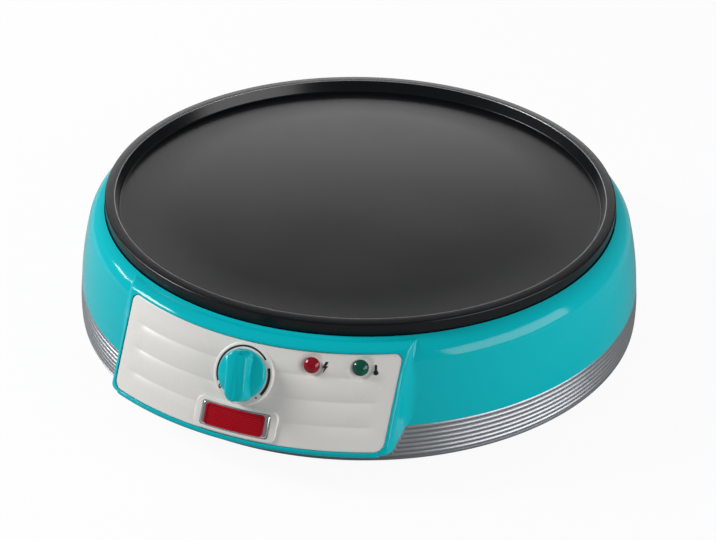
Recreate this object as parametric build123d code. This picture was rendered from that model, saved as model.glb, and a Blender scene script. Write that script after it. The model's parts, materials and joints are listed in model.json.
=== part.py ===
from build123d import *
from math import cos, radians, sin, tan
import os

# Electric crepe maker, in millimetres, +Z up. The control pod faces -Y. Everything is built about the
# plate's own axis, then moved so that the feet stand on Z = 0 with the whole box centred on the origin.
# Azimuths are in degrees: turned angles run from +X, pod angles from -Y towards +X.

# ---- overall: the rings outside and inside the plate are set off from its radius ----
PLATE_R = 150.0

# ---- feet and base ----
FOOT_HEIGHT = 5.0
FOOT_R = 8.0
FOOT_NECK_R = 3.0
FOOT_HEAD_R = 4.2
FOOT_HEAD_HEIGHT = 2.5
FOOT_CIRCLE_R = PLATE_R - 10.0
CORNER_ANGLES = (45, 135, 225, 315)
BASE_HEIGHT = 22.0
BASE_R = PLATE_R + 18.0
BASE_TOP_DRAW_IN = 1.3
BASE_WALL = 3.0
FLOOR = 2.6
RIB_COUNT = 7
RIB_DEPTH = 0.7
PLAIN_EDGE = 2.05
EDGE_ROUND = 1.6
LIP_HEIGHT = 4.0
LIP_WALL = 2.0
VENT_COUNT = 12
VENT_WIDTH = 4.0
VENT_LENGTH = 30.0
VENT_CIRCLE_R = 62.0

# ---- turquoise housing ----
SHELL_TOP_Z = 73.0
SHELL_BASE_R = PLATE_R + 16.7
SHELL_BELLY_R = PLATE_R + 14.3
SHELL_BELLY_Z = 45.0
SHELL_WAIST_R = PLATE_R + 10.65
SHELL_WAIST_Z = 61.0
SHOULDER_R = PLATE_R + 7.5
SHOULDER_Z = 68.0
SHELL_WALL = 2.5
LEDGE_THICKNESS = 2.5
LEDGE_Z = 66.0
LEDGE_WIDTH = 9.0
POST_R = 4.0
POST_CIRCLE_R = PLATE_R + 5.0
POST_ANGLES = (0, 60, 120, 180, 236, 304)
POST_FOOT_Z = 14.2
SCREW_WELL_R = 5.2

# ---- plate, element and what hangs under the plate ----
PLATE_GAP = 0.65
RIM_TOP_Z = 80.0
RIM_WIDTH = 6.0
RIM_SLOPE = 2.1
RIM_ROUND = 0.6
DISH_DEPTH = 7.0
PLATE_THICKNESS = 4.5
SKIRT_WALL = 5.5
BOSS_R = 6.0
BOSS_CIRCLE_R = PLATE_R - 26.0
BOSS_LENGTH = 8.0
ELEMENT_R = 95.0
ELEMENT_TUBE_R = 3.3
ELEMENT_GAP_HALF_ANGLE = 12.0
ELEMENT_BEND = 9.0
ELEMENT_LEG_Z = 42.0
BEAD_R = 4.2
BEAD_LENGTH = 6.0
PIN_R = 1.5
PIN_LENGTH = 10.0
LEG_HOLE_GAP = 2.0
CLAMP_ANGLES = (30, 150, 270)
CLAMP_REACH = 11.0
CLAMP_WIDTH = 12.0
BRACKET_WIDTH = 16.0
STRAP = 1.2
SHEET = 0.6
REFLECTOR_R = PLATE_R - 16.0
REFLECTOR_PAN_R = 108.0
REFLECTOR_PAN_Z = 50.0
REFLECTOR_SLOPE = 7.0
M4_R = 2.0
M4_HEAD_R = 3.8
M4_HEAD = 2.4
M3_R = 1.5
M3_HEAD_R = 2.9
M3_HEAD = 2.0
SLOT_WIDTH = 0.9
CLAMP_BOSS_R = 4.5
RIB_WIDTH = 1.2
THREAD_GAP = 0.05
HOLE_GAP = 0.3

# ---- control pod and fascia: the leaning face is a cone about the plate's axis ----
LEAN = 29.6
FASCIA_LOW_R = PLATE_R + 34.5
FASCIA_LOW_Z = 24.0
FASCIA_SLANT = 50.6
FASCIA_HALF_WIDTH = 77.5
FASCIA_THICKNESS = 2.5
FASCIA_CORNER_R = 4.5
FLUTES = 4
FLUTE_DEPTH = 0.7
FIT_GAP = 0.15
POD_HALF_WIDTH = 80.3
POD_WIDTH_Y = -(PLATE_R + 15.0)
POD_FLARE = 7.0
POD_BEAD = 0.6
POD_LOW_BORDER = 2.6
POD_TOP_BORDER = 1.4
POD_FOOT_R = PLATE_R + 33.2
POD_FOOT_Z = 19.6
CHIN_LOW_Z = 9.0
CHIN_DRAFT = 22.0
POD_SECTOR = 70.0

# ---- dial, knob and thermostat ----
DIAL_UP = 33.7
DIAL_R = 16.7
DIAL_RISE = 0.9
KNOB_R = 13.0
KNOB_GAP = 0.5
KNOB_EDGE = 2.6
KNOB_DOME = 3.4
KNOB_WALL = 2.0
GRIP_WIDTH = 13.6
GRIP_NOSE = 1.4
GRIP_HEIGHT = 12.0
KNOB_REST_TURN = 6.0
SPINDLE_R = 3.0
SPINDLE_FLAT = 1.6
SPINDLE_OUT = 11.0
SPINDLE_IN = 14.0
RUNNING_GAP = 0.03
CLIP = 0.5
BUSH_R = 5.0
BUSH_LENGTH = 5.0
PLUNGER_R = 1.5
PLUNGER_LENGTH = 9.0
PLUNGER_HEAD_R = 2.7
PLUNGER_HEAD = 1.2
GUIDE_LENGTH = 4.0
SPINDLE_HOLE_GAP = 0.5
BUSH_FLANGE = 2.0
HUB_WALL = 2.4
GRIP_CORNER_R = 6.2
GRIP_ROUND = 2.2
TAB_SPACING = 16.0
TAB_Y = -5.0
PLUNGER_REST_GAP = 1.0
CASE_WIDTH = 30.0
CASE_HEIGHT = 24.0
CASE_DEPTH = 20.0
CASE_WALL = 2.0
POST_SPACING = 36.0
FASCIA_POST_R = 3.2
FASCIA_POST = 4.0
TAB_WIDTH = 6.3
TAB_THICKNESS = 0.8
TAB_LENGTH = 8.0

# ---- lamps and badge ----
POWER_ARC = 34.7
READY_ARC = 60.1
LAMP_UP = 43.6
LENS_R = 4.1
LENS_DOME = 2.0
LENS_DISH_R = 7.0
LENS_DISH = 0.7
LENS_FLANGE_R = 5.2
LENS_FLANGE = 1.5
LAMP_TUBE_WALL = 1.1
LAMP_TUBE = 8.0
NEON_R = 2.6
NEON_LENGTH = 14.0
NEON_GAP = 1.3
HOLDER_LENGTH = 18.0
BADGE_UP = 8.9
BADGE_WIDTH = 38.4
BADGE_HEIGHT = 12.8
BADGE_FRAME_END = 2.4
BADGE_FRAME_EDGE = 0.6
BADGE_FRAME = 2.2
BADGE_PLATE = 1.7
BADGE_CORNER = 1.6
SURROUND_MARGIN_X = 3.9
SURROUND_MARGIN_Y = 1.9
SURROUND_CORNER = 4.0
FIX_ARC = 70.0
FIX_UPS = (12.0, 31.0)

# ---- mains parts ----
GLAND_Z = 16.0
GLAND_R = 5.5
GLAND_FLANGE_R = 8.0
GLAND_FLANGE = 3.0
GLAND_BORE_R = 3.7
GLAND_PAD_R = 9.5
GLAND_PAD = 0.6
BLOCK_LENGTH = 34.0
BLOCK_WIDTH = 18.0
BLOCK_HEIGHT = 15.0
BLOCK_Y = PLATE_R - 32.0
BLOCK_POLES = 3
TERMINAL_SCREW_R = 2.1
GLAND_LENGTH = 12.0
GLAND_ROUND = 0.8
WIRE_R = 1.1
LEAD_R = 0.8
FUSE_R = 2.5
FUSE_LENGTH = 14.0
FUSE_Y = 62.0
FUSE_CLIP_WIDTH = 7.0
BULB_R = 3.0
BULB_LENGTH = 50.0
BULB_Y = -55.0
CAPILLARY_R = 1.0
CAPILLARY_Y = 7.0
CAPILLARY_BEND = 9.0
CAPILLARY_LOW_Z = 34.0
CAPILLARY_TURN = 22.0
WIRE_BEND = 6.0
LEAD_BEND = 5.0
CLIP_SCREW_OFFSET = 9.0

# ---- derived sizes ----
BASE_TOP_Z = FOOT_HEIGHT + BASE_HEIGHT
FLOOR_TOP_Z = FOOT_HEIGHT + FLOOR
DISH_R = PLATE_R - RIM_WIDTH - RIM_SLOPE
DISH_Z = RIM_TOP_Z - DISH_DEPTH
PLATE_UNDER_Z = DISH_Z - PLATE_THICKNESS
LIP_MOUTH_R = PLATE_R + PLATE_GAP
LEDGE_UNDER_Z = LEDGE_Z - LEDGE_THICKNESS
LEDGE_INNER_R = LIP_MOUTH_R - LEDGE_WIDTH
BOSS_Z = PLATE_UNDER_Z - BOSS_LENGTH
BRACKET_Z = BOSS_Z - SHEET
ELEMENT_Z = PLATE_UNDER_Z - ELEMENT_TUBE_R - FIT_GAP
CLAMP_Z = ELEMENT_Z - ELEMENT_TUBE_R - STRAP
BULB_Z = PLATE_UNDER_Z - BULB_R - FIT_GAP
FUSE_Z = REFLECTOR_PAN_Z - FUSE_R - FIT_GAP
RECESS = FASCIA_THICKNESS + FIT_GAP
POD_SKIN = RECESS + SHELL_WALL
KNOB_BACK = DIAL_RISE + KNOB_GAP
BRACKET_OUT = -FASCIA_THICKNESS - FASCIA_POST
CASE_OUT = BRACKET_OUT - STRAP
CASE_BACK = CASE_OUT - CASE_DEPTH


# ---- shapes shared by the sub-parts ----
def section(*corners):
    """Face in the XZ plane. A corner is (r, z), or (r, z, r_mid, z_mid) when an arc leads to it."""
    edges = []
    for here, there in zip(corners, corners[1:] + corners[:1]):
        start, end = (here[0], 0, here[1]), (there[0], 0, there[1])
        if len(there) == 4:
            edges.append(ThreePointArc(start, (there[2], 0, there[3]), end))
        else:
            edges.append(Line(start, end))
    return make_face(edges)


def turned(*corners):
    """Solid turned all the way round the plate's axis."""
    return revolve(section(*corners), Axis.Z, 360)


def pod_sector(*corners):
    """Solid turned through the pod's sector, centred on -Y."""
    return Rot(Z=270 - POD_SECTOR / 2) * revolve(section(*corners), Axis.Z, POD_SECTOR)


def slope(up, out=0.0):
    """(r, z) of a point on the leaning face: up the slope from its lower edge, and out from its surface."""
    r = FASCIA_LOW_R - up * sin(radians(LEAN)) + out * cos(radians(LEAN))
    return r, FASCIA_LOW_Z + up * cos(radians(LEAN)) + out * sin(radians(LEAN))


def on_fascia(arc, up):
    """Location on the leaning face: x along it, y up the slope, z out of it. arc is measured in mm."""
    r, z = slope(up)
    turn = arc / r
    outward = (sin(turn) * cos(radians(LEAN)), -cos(turn) * cos(radians(LEAN)), sin(radians(LEAN)))
    frame = Plane((r * sin(turn), -r * cos(turn), z), x_dir=(cos(turn), sin(turn), 0), z_dir=outward)
    return frame.location


def rod(radius, low, high, x=0.0, y=0.0):
    """Upright round bar between two heights."""
    return Pos(x, y, (low + high) / 2) * Cylinder(radius, high - low)


def block(width, depth, low, high, x=0.0, y=0.0):
    """Upright box between two heights."""
    return Pos(x, y, (low + high) / 2) * Box(width, depth, high - low)


def pad(width, depth, corner, low, high):
    """Upright rounded rectangle between two heights."""
    return Pos(0, 0, low) * extrude(RectangleRounded(width, depth, corner), high - low)


def around(angles, radius, shape):
    """Copies of a shape set out on a circle about the plate's axis."""
    return [Rot(Z=angle) * Pos(radius, 0, 0) * shape for angle in angles]


def screw(radius, head_radius, head_height, length):
    """Pan-head screw whose seat is at z = 0, with its shank up the z axis."""
    body = rod(radius, 0, length) + rod(head_radius, -head_height, 0)
    slot = block(head_radius * 1.3, SLOT_WIDTH, -head_height, -head_height / 2)
    return body - slot


def base_radius(z):
    """Radius of the base's rib crests at a height: widest low down, drawn in to the housing on top."""
    widest = FOOT_HEIGHT + BASE_HEIGHT * 0.27
    return BASE_R - BASE_TOP_DRAW_IN * ((z - widest) / (BASE_TOP_Z - widest)) ** 2


# ---- housing, base and feet ----
def pod_prism(widen=0.0, draft=0.0, low=0.0, high=95.0):
    """The space between the pod's side walls. They lean back with the face and flare towards the shell."""
    reach = 60.0
    profile = []
    for z in (low, high):
        back = (z - FASCIA_LOW_Z) * tan(radians(LEAN))
        narrow = widen - (FASCIA_LOW_Z - z) * tan(radians(draft)) if draft else widen
        front = POD_HALF_WIDTH + narrow - reach * tan(radians(POD_FLARE))
        rear = POD_HALF_WIDTH + narrow + 2 * reach * tan(radians(POD_FLARE))
        y_front, y_rear = POD_WIDTH_Y + back - reach, POD_WIDTH_Y + back + 2 * reach
        corners = [(-front, y_front), (front, y_front), (rear, y_rear), (-rear, y_rear)]
        profile.append(Pos(0, 0, z) * make_face(Polyline(*corners, close=True)))
    return loft(profile, ruled=True)


def pod_body():
    """Outside of the turquoise pod, down to its sloping underside."""
    top = slope(FASCIA_SLANT + POD_TOP_BORDER, POD_BEAD)
    low = slope(-POD_LOW_BORDER, POD_BEAD)
    outline = pod_sector(
        (LIP_MOUTH_R + 1, LEDGE_Z - 5), (LIP_MOUTH_R + 1.7, SHELL_TOP_Z - 0.9),
        (top[0], top[1], top[0] - 2.6, top[1] + 1.7), low,
        (POD_FOOT_R, POD_FOOT_Z, low[0] - 0.4, low[1] - 1.3), (SHELL_BASE_R + 0.3, BASE_TOP_Z),
        (LIP_MOUTH_R + 1, BASE_TOP_Z))
    return outline & pod_prism()


def rounded_band(back, front, grow=0.0):
    """The fascia's outline, with its four rounded corners, between two distances from its face."""
    low, high, half = -grow, FASCIA_SLANT + grow, FASCIA_HALF_WIDTH + grow
    deep, proud = -RECESS, FASCIA_CORNER_R + 1.5
    band = pod_sector(slope(low, deep), slope(low, proud), slope(high, proud), slope(high, deep))
    band &= Pos(0, -PLATE_R, 50) * Box(2 * half, 120, 120)
    corners = [edge for edge in band.edges()
               if abs(abs(edge.center().X) - half) < 0.01 and edge.length < 1.3 * (proud - deep)]
    band = fillet(corners, FASCIA_CORNER_R + grow)
    if back > deep or front < proud:
        band &= pod_sector(slope(low - 2, back), slope(low - 2, front),
                           slope(high + 2, front), slope(high + 2, back))
    return band


def make_upper_housing():
    shell = turned(
        (120, BASE_TOP_Z), (SHELL_BASE_R, BASE_TOP_Z),
        (SHELL_WAIST_R, SHELL_WAIST_Z, SHELL_BELLY_R, SHELL_BELLY_Z),
        (LIP_MOUTH_R, SHELL_TOP_Z, SHOULDER_R, SHOULDER_Z), (LIP_MOUTH_R, LEDGE_Z), (120, LEDGE_Z))
    body = shell + pod_body()
    lip_outer_r = LIP_MOUTH_R + SHELL_WALL
    core = turned(
        (100, BASE_TOP_Z - 1), (SHELL_BASE_R - SHELL_WALL, BASE_TOP_Z - 1),
        (SHELL_BASE_R - SHELL_WALL, BASE_TOP_Z),
        (SHELL_WAIST_R - SHELL_WALL, SHELL_WAIST_Z, SHELL_BELLY_R - SHELL_WALL, SHELL_BELLY_Z),
        (SHOULDER_R - SHELL_WALL, SHOULDER_Z - SHELL_WALL), (lip_outer_r, SHELL_TOP_Z - 2 * SHELL_WALL),
        (lip_outer_r, LEDGE_UNDER_Z), (LEDGE_INNER_R, LEDGE_UNDER_Z), (LEDGE_INNER_R, LEDGE_Z + 3),
        (100, LEDGE_Z + 3))
    pod_core = pod_sector(
        (120, LEDGE_UNDER_Z), (lip_outer_r, LEDGE_UNDER_Z), slope(FASCIA_SLANT - SHELL_WALL, -POD_SKIN),
        slope(-20, -POD_SKIN), (120, 5)) & pod_prism(widen=-SHELL_WALL)
    dial, badge = on_fascia(0, DIAL_UP), on_fascia(0, BADGE_UP)
    body = body - core - pod_core - rounded_band(-RECESS, 6, FIT_GAP)
    body -= dial * Pos(0, 0, -POD_SKIN) * Box(POST_SPACING + 12, CASE_HEIGHT + 2, 12)
    body -= badge * Pos(0, 0, -POD_SKIN) * Box(BADGE_WIDTH - 8, 7, 12)
    tube_r = LENS_FLANGE_R + FIT_GAP + LAMP_TUBE_WALL + HOLE_GAP
    for arc in (POWER_ARC, READY_ARC):
        body -= on_fascia(arc, LAMP_UP) * Pos(0, 0, -POD_SKIN) * Cylinder(tube_r, 12)
    for place in fascia_fixings():
        body -= place * Pos(0, 0, -POD_SKIN) * Cylinder(M3_R + HOLE_GAP, 12)
    posts = around(POST_ANGLES, POST_CIRCLE_R, rod(POST_R, POST_FOOT_Z, LEDGE_Z))
    holes = around(POST_ANGLES, POST_CIRCLE_R, rod(M3_R + THREAD_GAP, POST_FOOT_Z - 1, POST_FOOT_Z + 14))
    return body + posts - holes


def fascia_fixings():
    """Where the four screws pass from inside the pod into the fascia."""
    return [on_fascia(side * FIX_ARC, up) for side in (-1, 1) for up in FIX_UPS]


def make_base_tray():
    rib_pitch = (BASE_HEIGHT - PLAIN_EDGE) / RIB_COUNT
    valleys = [FOOT_HEIGHT + PLAIN_EDGE + i * rib_pitch for i in range(RIB_COUNT + 1)]
    inner_r = base_radius(BASE_TOP_Z) - RIB_DEPTH - BASE_WALL
    wall = [(inner_r, FOOT_HEIGHT), (base_radius(FOOT_HEIGHT) - EDGE_ROUND, FOOT_HEIGHT),
            (base_radius(FOOT_HEIGHT), FOOT_HEIGHT + EDGE_ROUND,
             base_radius(FOOT_HEIGHT) - 0.3 * EDGE_ROUND, FOOT_HEIGHT + 0.3 * EDGE_ROUND),
            (base_radius(valleys[0]) - RIB_DEPTH, valleys[0])]
    for low, high in zip(valleys, valleys[1:]):
        middle = (low + high) / 2
        wall.append((base_radius(high) - RIB_DEPTH, high, base_radius(middle), middle))
    tray = turned(*wall, (inner_r, BASE_TOP_Z))
    lip_r = SHELL_BASE_R - SHELL_WALL - 0.9
    tray += turned((lip_r - LIP_WALL, BASE_TOP_Z - 6), (lip_r, BASE_TOP_Z - 6),
                   (lip_r, BASE_TOP_Z + LIP_HEIGHT), (lip_r - LIP_WALL, BASE_TOP_Z + LIP_HEIGHT))
    tray += rod(inner_r + 0.5, FOOT_HEIGHT, FLOOR_TOP_Z)
    tray += make_chin(inner_r)
    tray += Pos(0, base_radius(GLAND_Z) - 3, GLAND_Z) * Rot(X=90) * Cylinder(GLAND_PAD_R, 6 + 2 * GLAND_PAD)
    tray += around(POST_ANGLES, POST_CIRCLE_R, rod(SCREW_WELL_R, FOOT_HEIGHT, POST_FOOT_Z - FIT_GAP))
    tray += block(BLOCK_LENGTH - 6, BLOCK_WIDTH - 6, FOOT_HEIGHT, FLOOR_TOP_Z + 1, y=BLOCK_Y)
    cuts = around(POST_ANGLES, POST_CIRCLE_R,
                  rod(M3_R + HOLE_GAP, FOOT_HEIGHT - 1, POST_FOOT_Z)
                  + rod(M3_HEAD_R + 0.5, FOOT_HEIGHT - 1, well_seat()))
    cuts += around(CORNER_ANGLES, FOOT_CIRCLE_R, rod(FOOT_NECK_R, FOOT_HEIGHT - 1, FLOOR_TOP_Z + 1))
    vent = Pos(0, 0, FOOT_HEIGHT) * extrude(SlotOverall(VENT_LENGTH, VENT_WIDTH), 12, both=True)
    cuts += around([360 * i / VENT_COUNT for i in range(VENT_COUNT)], VENT_CIRCLE_R, vent)
    cuts += [Pos(0, BASE_R, GLAND_Z) * Rot(X=90) * Cylinder(GLAND_R, 30)]
    cuts += [rod(M3_R + THREAD_GAP, FOOT_HEIGHT - 1, FLOOR_TOP_Z + 2, y=BLOCK_Y)]
    return tray - cuts


def make_chin(inner_r):
    """Floor of the pod: it fills the underside and draws in to the base's wall."""
    chin = pod_sector((inner_r + 0.5, CHIN_LOW_Z), (BASE_R - 2, CHIN_LOW_Z - 1),
                      (POD_FOOT_R - 0.4, POD_FOOT_Z - 0.6), (POD_FOOT_R - 0.4, POD_FOOT_Z - 0.2),
                      (SHELL_BASE_R - 1, BASE_TOP_Z - 0.2), (inner_r + 0.5, BASE_TOP_Z - 0.2))
    return chin & pod_prism(widen=-0.2, draft=CHIN_DRAFT, low=0.0, high=FASCIA_LOW_Z + 6)


def well_seat():
    """Height at which a housing screw's head seats in its well."""
    return POST_FOOT_Z - 3.5


def make_housing_screws():
    one = screw(M3_R, M3_HEAD_R, M3_HEAD, 14)
    return around(POST_ANGLES, POST_CIRCLE_R, Pos(0, 0, well_seat()) * one)


def make_rubber_feet():
    foot = rod(FOOT_R, 0, FOOT_HEIGHT) + rod(FOOT_NECK_R, FOOT_HEIGHT, FLOOR_TOP_Z)
    foot += rod(FOOT_HEAD_R, FLOOR_TOP_Z, FLOOR_TOP_Z + FOOT_HEAD_HEIGHT)
    foot = chamfer(foot.edges().group_by(Axis.Z)[0], 1.0)
    return around(CORNER_ANGLES, FOOT_CIRCLE_R, foot)


# ---- plate, element, reflector ----
def make_cooking_plate():
    plate = turned(
        (0, DISH_Z), (DISH_R, DISH_Z), (PLATE_R - RIM_WIDTH, RIM_TOP_Z), (PLATE_R - RIM_ROUND, RIM_TOP_Z),
        (PLATE_R, RIM_TOP_Z - RIM_ROUND, PLATE_R - 0.3 * RIM_ROUND, RIM_TOP_Z - 0.3 * RIM_ROUND),
        (PLATE_R, LEDGE_Z),
        (PLATE_R - SKIRT_WALL, LEDGE_Z), (PLATE_R - SKIRT_WALL, PLATE_UNDER_Z), (0, PLATE_UNDER_Z))
    rib_gap = ELEMENT_TUBE_R + FIT_GAP
    for rib_r in (ELEMENT_R - rib_gap - RIB_WIDTH, ELEMENT_R + rib_gap):
        plate += turned((rib_r, ELEMENT_Z), (rib_r + RIB_WIDTH, ELEMENT_Z),
                        (rib_r + RIB_WIDTH, PLATE_UNDER_Z + 1), (rib_r, PLATE_UNDER_Z + 1))
    boss = rod(BOSS_R, BOSS_Z, PLATE_UNDER_Z + 1)
    clamp_boss = rod(CLAMP_BOSS_R, CLAMP_Z + STRAP, PLATE_UNDER_Z + 1)
    plate += around(CORNER_ANGLES, BOSS_CIRCLE_R, boss)
    for step in (-CLAMP_REACH, CLAMP_REACH):
        plate += around(CLAMP_ANGLES, ELEMENT_R + step, clamp_boss)
    clip_boss = Pos(0, BULB_Y + CLIP_SCREW_OFFSET, 0)
    plate += clip_boss * rod(CLAMP_BOSS_R, BULB_Z - BULB_R, PLATE_UNDER_Z + 1)
    thread = rod(M4_R + THREAD_GAP, BOSS_Z - 1, PLATE_UNDER_Z + 1)
    plate -= around(CORNER_ANGLES, BOSS_CIRCLE_R, thread)
    for step in (-CLAMP_REACH, CLAMP_REACH):
        plate -= around(CLAMP_ANGLES, ELEMENT_R + step, thread)
    return plate - clip_boss * rod(M3_R + THREAD_GAP, BOSS_Z, PLATE_UNDER_Z + 1)


def element_ends():
    """End points of the element's ring with the way it points there: the gap is at the rear."""
    ends = []
    for angle, turn in ((90 - ELEMENT_GAP_HALF_ANGLE, 1), (90 + ELEMENT_GAP_HALF_ANGLE, -1)):
        point = Vector(ELEMENT_R * cos(radians(angle)), ELEMENT_R * sin(radians(angle)), ELEMENT_Z)
        ends.append((point, Vector(-sin(radians(angle)), cos(radians(angle)), 0) * turn))
    return ends


def element_legs():
    """Axis points at which the element's two legs go straight down."""
    return [point + way * ELEMENT_BEND for point, way in element_ends()]


def make_heating_element():
    ring = Pos(ELEMENT_R, 0, ELEMENT_Z) * Rot(X=90) * Circle(ELEMENT_TUBE_R)
    gap = 2 * ELEMENT_GAP_HALF_ANGLE
    element = Rot(Z=90 + ELEMENT_GAP_HALF_ANGLE) * revolve(ring, Axis.Z, 360 - gap)
    for point, way in element_ends():
        face = Plane(point, z_dir=way) * Circle(ELEMENT_TUBE_R)
        hinge = Axis(point - Vector(0, 0, ELEMENT_BEND), Vector(0, 0, 1).cross(way))
        element += revolve(face, hinge, 90)
    for leg in element_legs():
        element += rod(ELEMENT_TUBE_R, ELEMENT_LEG_Z, ELEMENT_Z - ELEMENT_BEND, leg.X, leg.Y)
    return element


def pin_low_z():
    """Height at which an element pin ends and its tab begins."""
    return ELEMENT_LEG_Z - PIN_LENGTH


def make_element_insulators():
    bead = rod(BEAD_R, ELEMENT_LEG_Z - BEAD_LENGTH, ELEMENT_LEG_Z)
    bead -= rod(PIN_R + THREAD_GAP, 0, ELEMENT_LEG_Z + 1)
    return [Pos(leg.X, leg.Y, 0) * bead for leg in element_legs()]


def make_element_terminals():
    pin = rod(PIN_R, pin_low_z(), ELEMENT_LEG_Z)
    tab = block(TAB_WIDTH, TAB_THICKNESS, pin_low_z() - TAB_LENGTH, pin_low_z() + 1)
    return [Pos(leg.X, leg.Y, 0) * (pin + tab) for leg in element_legs()]


def make_element_clamps():
    strap = block(2 * CLAMP_REACH + 11, CLAMP_WIDTH, CLAMP_Z, CLAMP_Z + STRAP)
    for step in (-CLAMP_REACH, CLAMP_REACH):
        strap -= rod(M4_R + HOLE_GAP, CLAMP_Z - 1, CLAMP_Z + 3, x=step)
    return around(CLAMP_ANGLES, ELEMENT_R, strap)


def make_element_clamp_screws():
    one = Pos(0, 0, CLAMP_Z) * screw(M4_R, M4_HEAD_R, M4_HEAD, 6.5)
    return [part for step in (-CLAMP_REACH, CLAMP_REACH)
            for part in around(CLAMP_ANGLES, ELEMENT_R + step, one)]


def make_heat_reflector():
    low, high = REFLECTOR_PAN_Z, BRACKET_Z
    foot_r = REFLECTOR_PAN_R + REFLECTOR_SLOPE
    pan = turned((0, low), (REFLECTOR_PAN_R, low), (foot_r, high), (REFLECTOR_R, high),
                 (REFLECTOR_R, high + SHEET), (foot_r - 0.4, high + SHEET),
                 (REFLECTOR_PAN_R - 0.4, low + SHEET), (0, low + SHEET))
    cuts = around(CORNER_ANGLES, BOSS_CIRCLE_R, rod(M4_R + HOLE_GAP, high - 1, high + 2))
    cuts += [rod(ELEMENT_TUBE_R + LEG_HOLE_GAP, low - 1, low + 2, leg.X, leg.Y) for leg in element_legs()]
    entry = capillary_route()[2]
    cuts += [rod(CAPILLARY_R + 3, low - 1, low + 2, entry[0], entry[1])]
    cuts += [rod(M4_R + THREAD_GAP, low - 1, low + 2, *earth_point())]
    return pan - cuts


def make_plate_brackets():
    """Cranked straps: clamped under the plate's bosses, hooked under the housing's ledge."""
    inner, tip = BOSS_CIRCLE_R - 8, LIP_MOUTH_R - 2
    step, rise = LEDGE_INNER_R - 4, LEDGE_UNDER_Z - BRACKET_Z
    outline = [(inner, BRACKET_Z - STRAP), (step, BRACKET_Z - STRAP), (step + rise, LEDGE_UNDER_Z - STRAP),
               (tip, LEDGE_UNDER_Z - STRAP), (tip, LEDGE_UNDER_Z), (step + rise - 0.5, LEDGE_UNDER_Z),
               (step - 0.5, BRACKET_Z), (inner, BRACKET_Z)]
    strap = extrude(section(*outline), BRACKET_WIDTH / 2, both=True)
    strap -= rod(M4_R + HOLE_GAP, BRACKET_Z - 3, BRACKET_Z + 1, x=BOSS_CIRCLE_R)
    return [Rot(Z=angle) * strap for angle in CORNER_ANGLES]


def make_plate_screws():
    one = Pos(0, 0, BRACKET_Z - STRAP) * screw(M4_R, M4_HEAD_R, M4_HEAD, 9)
    return around(CORNER_ANGLES, BOSS_CIRCLE_R, one)


# ---- fascia, lamps and badge ----
def make_control_fascia():
    spare, over = 2.0, 0.4
    face = pod_sector(slope(-spare, 0), slope(-spare, 2 * spare),
                      slope(FASCIA_SLANT + spare, 2 * spare), slope(FASCIA_SLANT + spare, 0))
    fascia = rounded_band(-FASCIA_THICKNESS, spare) - face
    spread = FASCIA_SLANT / FLUTES / 2
    for i in range(1, FLUTES):
        valley = FASCIA_SLANT * i / FLUTES
        fascia -= pod_sector(slope(valley - spread, over),
                             slope(valley + spread, over) + slope(valley, -FLUTE_DEPTH))
    dial, badge = on_fascia(0, DIAL_UP), on_fascia(0, BADGE_UP)
    fascia += dial * rod(DIAL_R, -FASCIA_THICKNESS + 1, DIAL_RISE)
    fascia += badge * pad(BADGE_WIDTH + 2 * SURROUND_MARGIN_X, BADGE_HEIGHT + 2 * SURROUND_MARGIN_Y,
                          SURROUND_CORNER, -FASCIA_THICKNESS + 1, DIAL_RISE)
    fascia -= badge * pad(BADGE_WIDTH + 2 * FIT_GAP, BADGE_HEIGHT + 2 * FIT_GAP, BADGE_CORNER, 0, 9)
    fascia -= dial * rod(SPINDLE_R + SPINDLE_HOLE_GAP, -9, 9)
    thermostat_post = rod(FASCIA_POST_R, BRACKET_OUT, -1.2) - rod(M3_R + THREAD_GAP, -9, -1.8)
    for side in (-1, 1):
        fascia += dial * Pos(side * POST_SPACING / 2, 0, 0) * thermostat_post
        fascia -= dial * Pos(side * POST_SPACING / 2, 0, 0) * rod(M3_R + THREAD_GAP, -9, -1.8)
    for place in fascia_fixings():
        fascia -= place * rod(M3_R + THREAD_GAP, -9, -0.9)
    flange_r = LENS_FLANGE_R + FIT_GAP
    for arc in (POWER_ARC, READY_ARC):
        place = on_fascia(arc, LAMP_UP)
        fascia += place * rod(flange_r + LAMP_TUBE_WALL, -FASCIA_THICKNESS - LAMP_TUBE, -1.6)
        fascia -= place * rod(flange_r, -FASCIA_THICKNESS - LAMP_TUBE - 1, -FASCIA_THICKNESS)
        fascia -= place * rod(LENS_R + FIT_GAP, -9, 9)
        ball_r = (LENS_DISH_R ** 2 + LENS_DISH ** 2) / (2 * LENS_DISH)
        fascia -= place * Pos(0, 0, ball_r - LENS_DISH - 0.3) * Sphere(ball_r)
    return fascia


def make_lens(arc):
    ball_r = (LENS_R ** 2 + LENS_DOME ** 2) / (2 * LENS_DOME)
    dome = Pos(0, 0, LENS_DOME - ball_r) * Sphere(ball_r) & rod(LENS_R, 0, LENS_DOME)
    lens = dome + rod(LENS_R, -FASCIA_THICKNESS, 0)
    lens += rod(LENS_FLANGE_R, -FASCIA_THICKNESS - LENS_FLANGE, -FASCIA_THICKNESS)
    lens -= rod(NEON_R + 0.4, -FASCIA_THICKNESS - LENS_FLANGE - 1, -1.0)
    return on_fascia(arc, LAMP_UP) * lens


def make_neon_lamps():
    tip = -NEON_GAP - NEON_R
    glass = rod(NEON_R, -NEON_GAP - NEON_LENGTH, tip) + Pos(0, 0, tip) * Sphere(NEON_R)
    return [on_fascia(arc, LAMP_UP) * glass for arc in (POWER_ARC, READY_ARC)]


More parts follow.
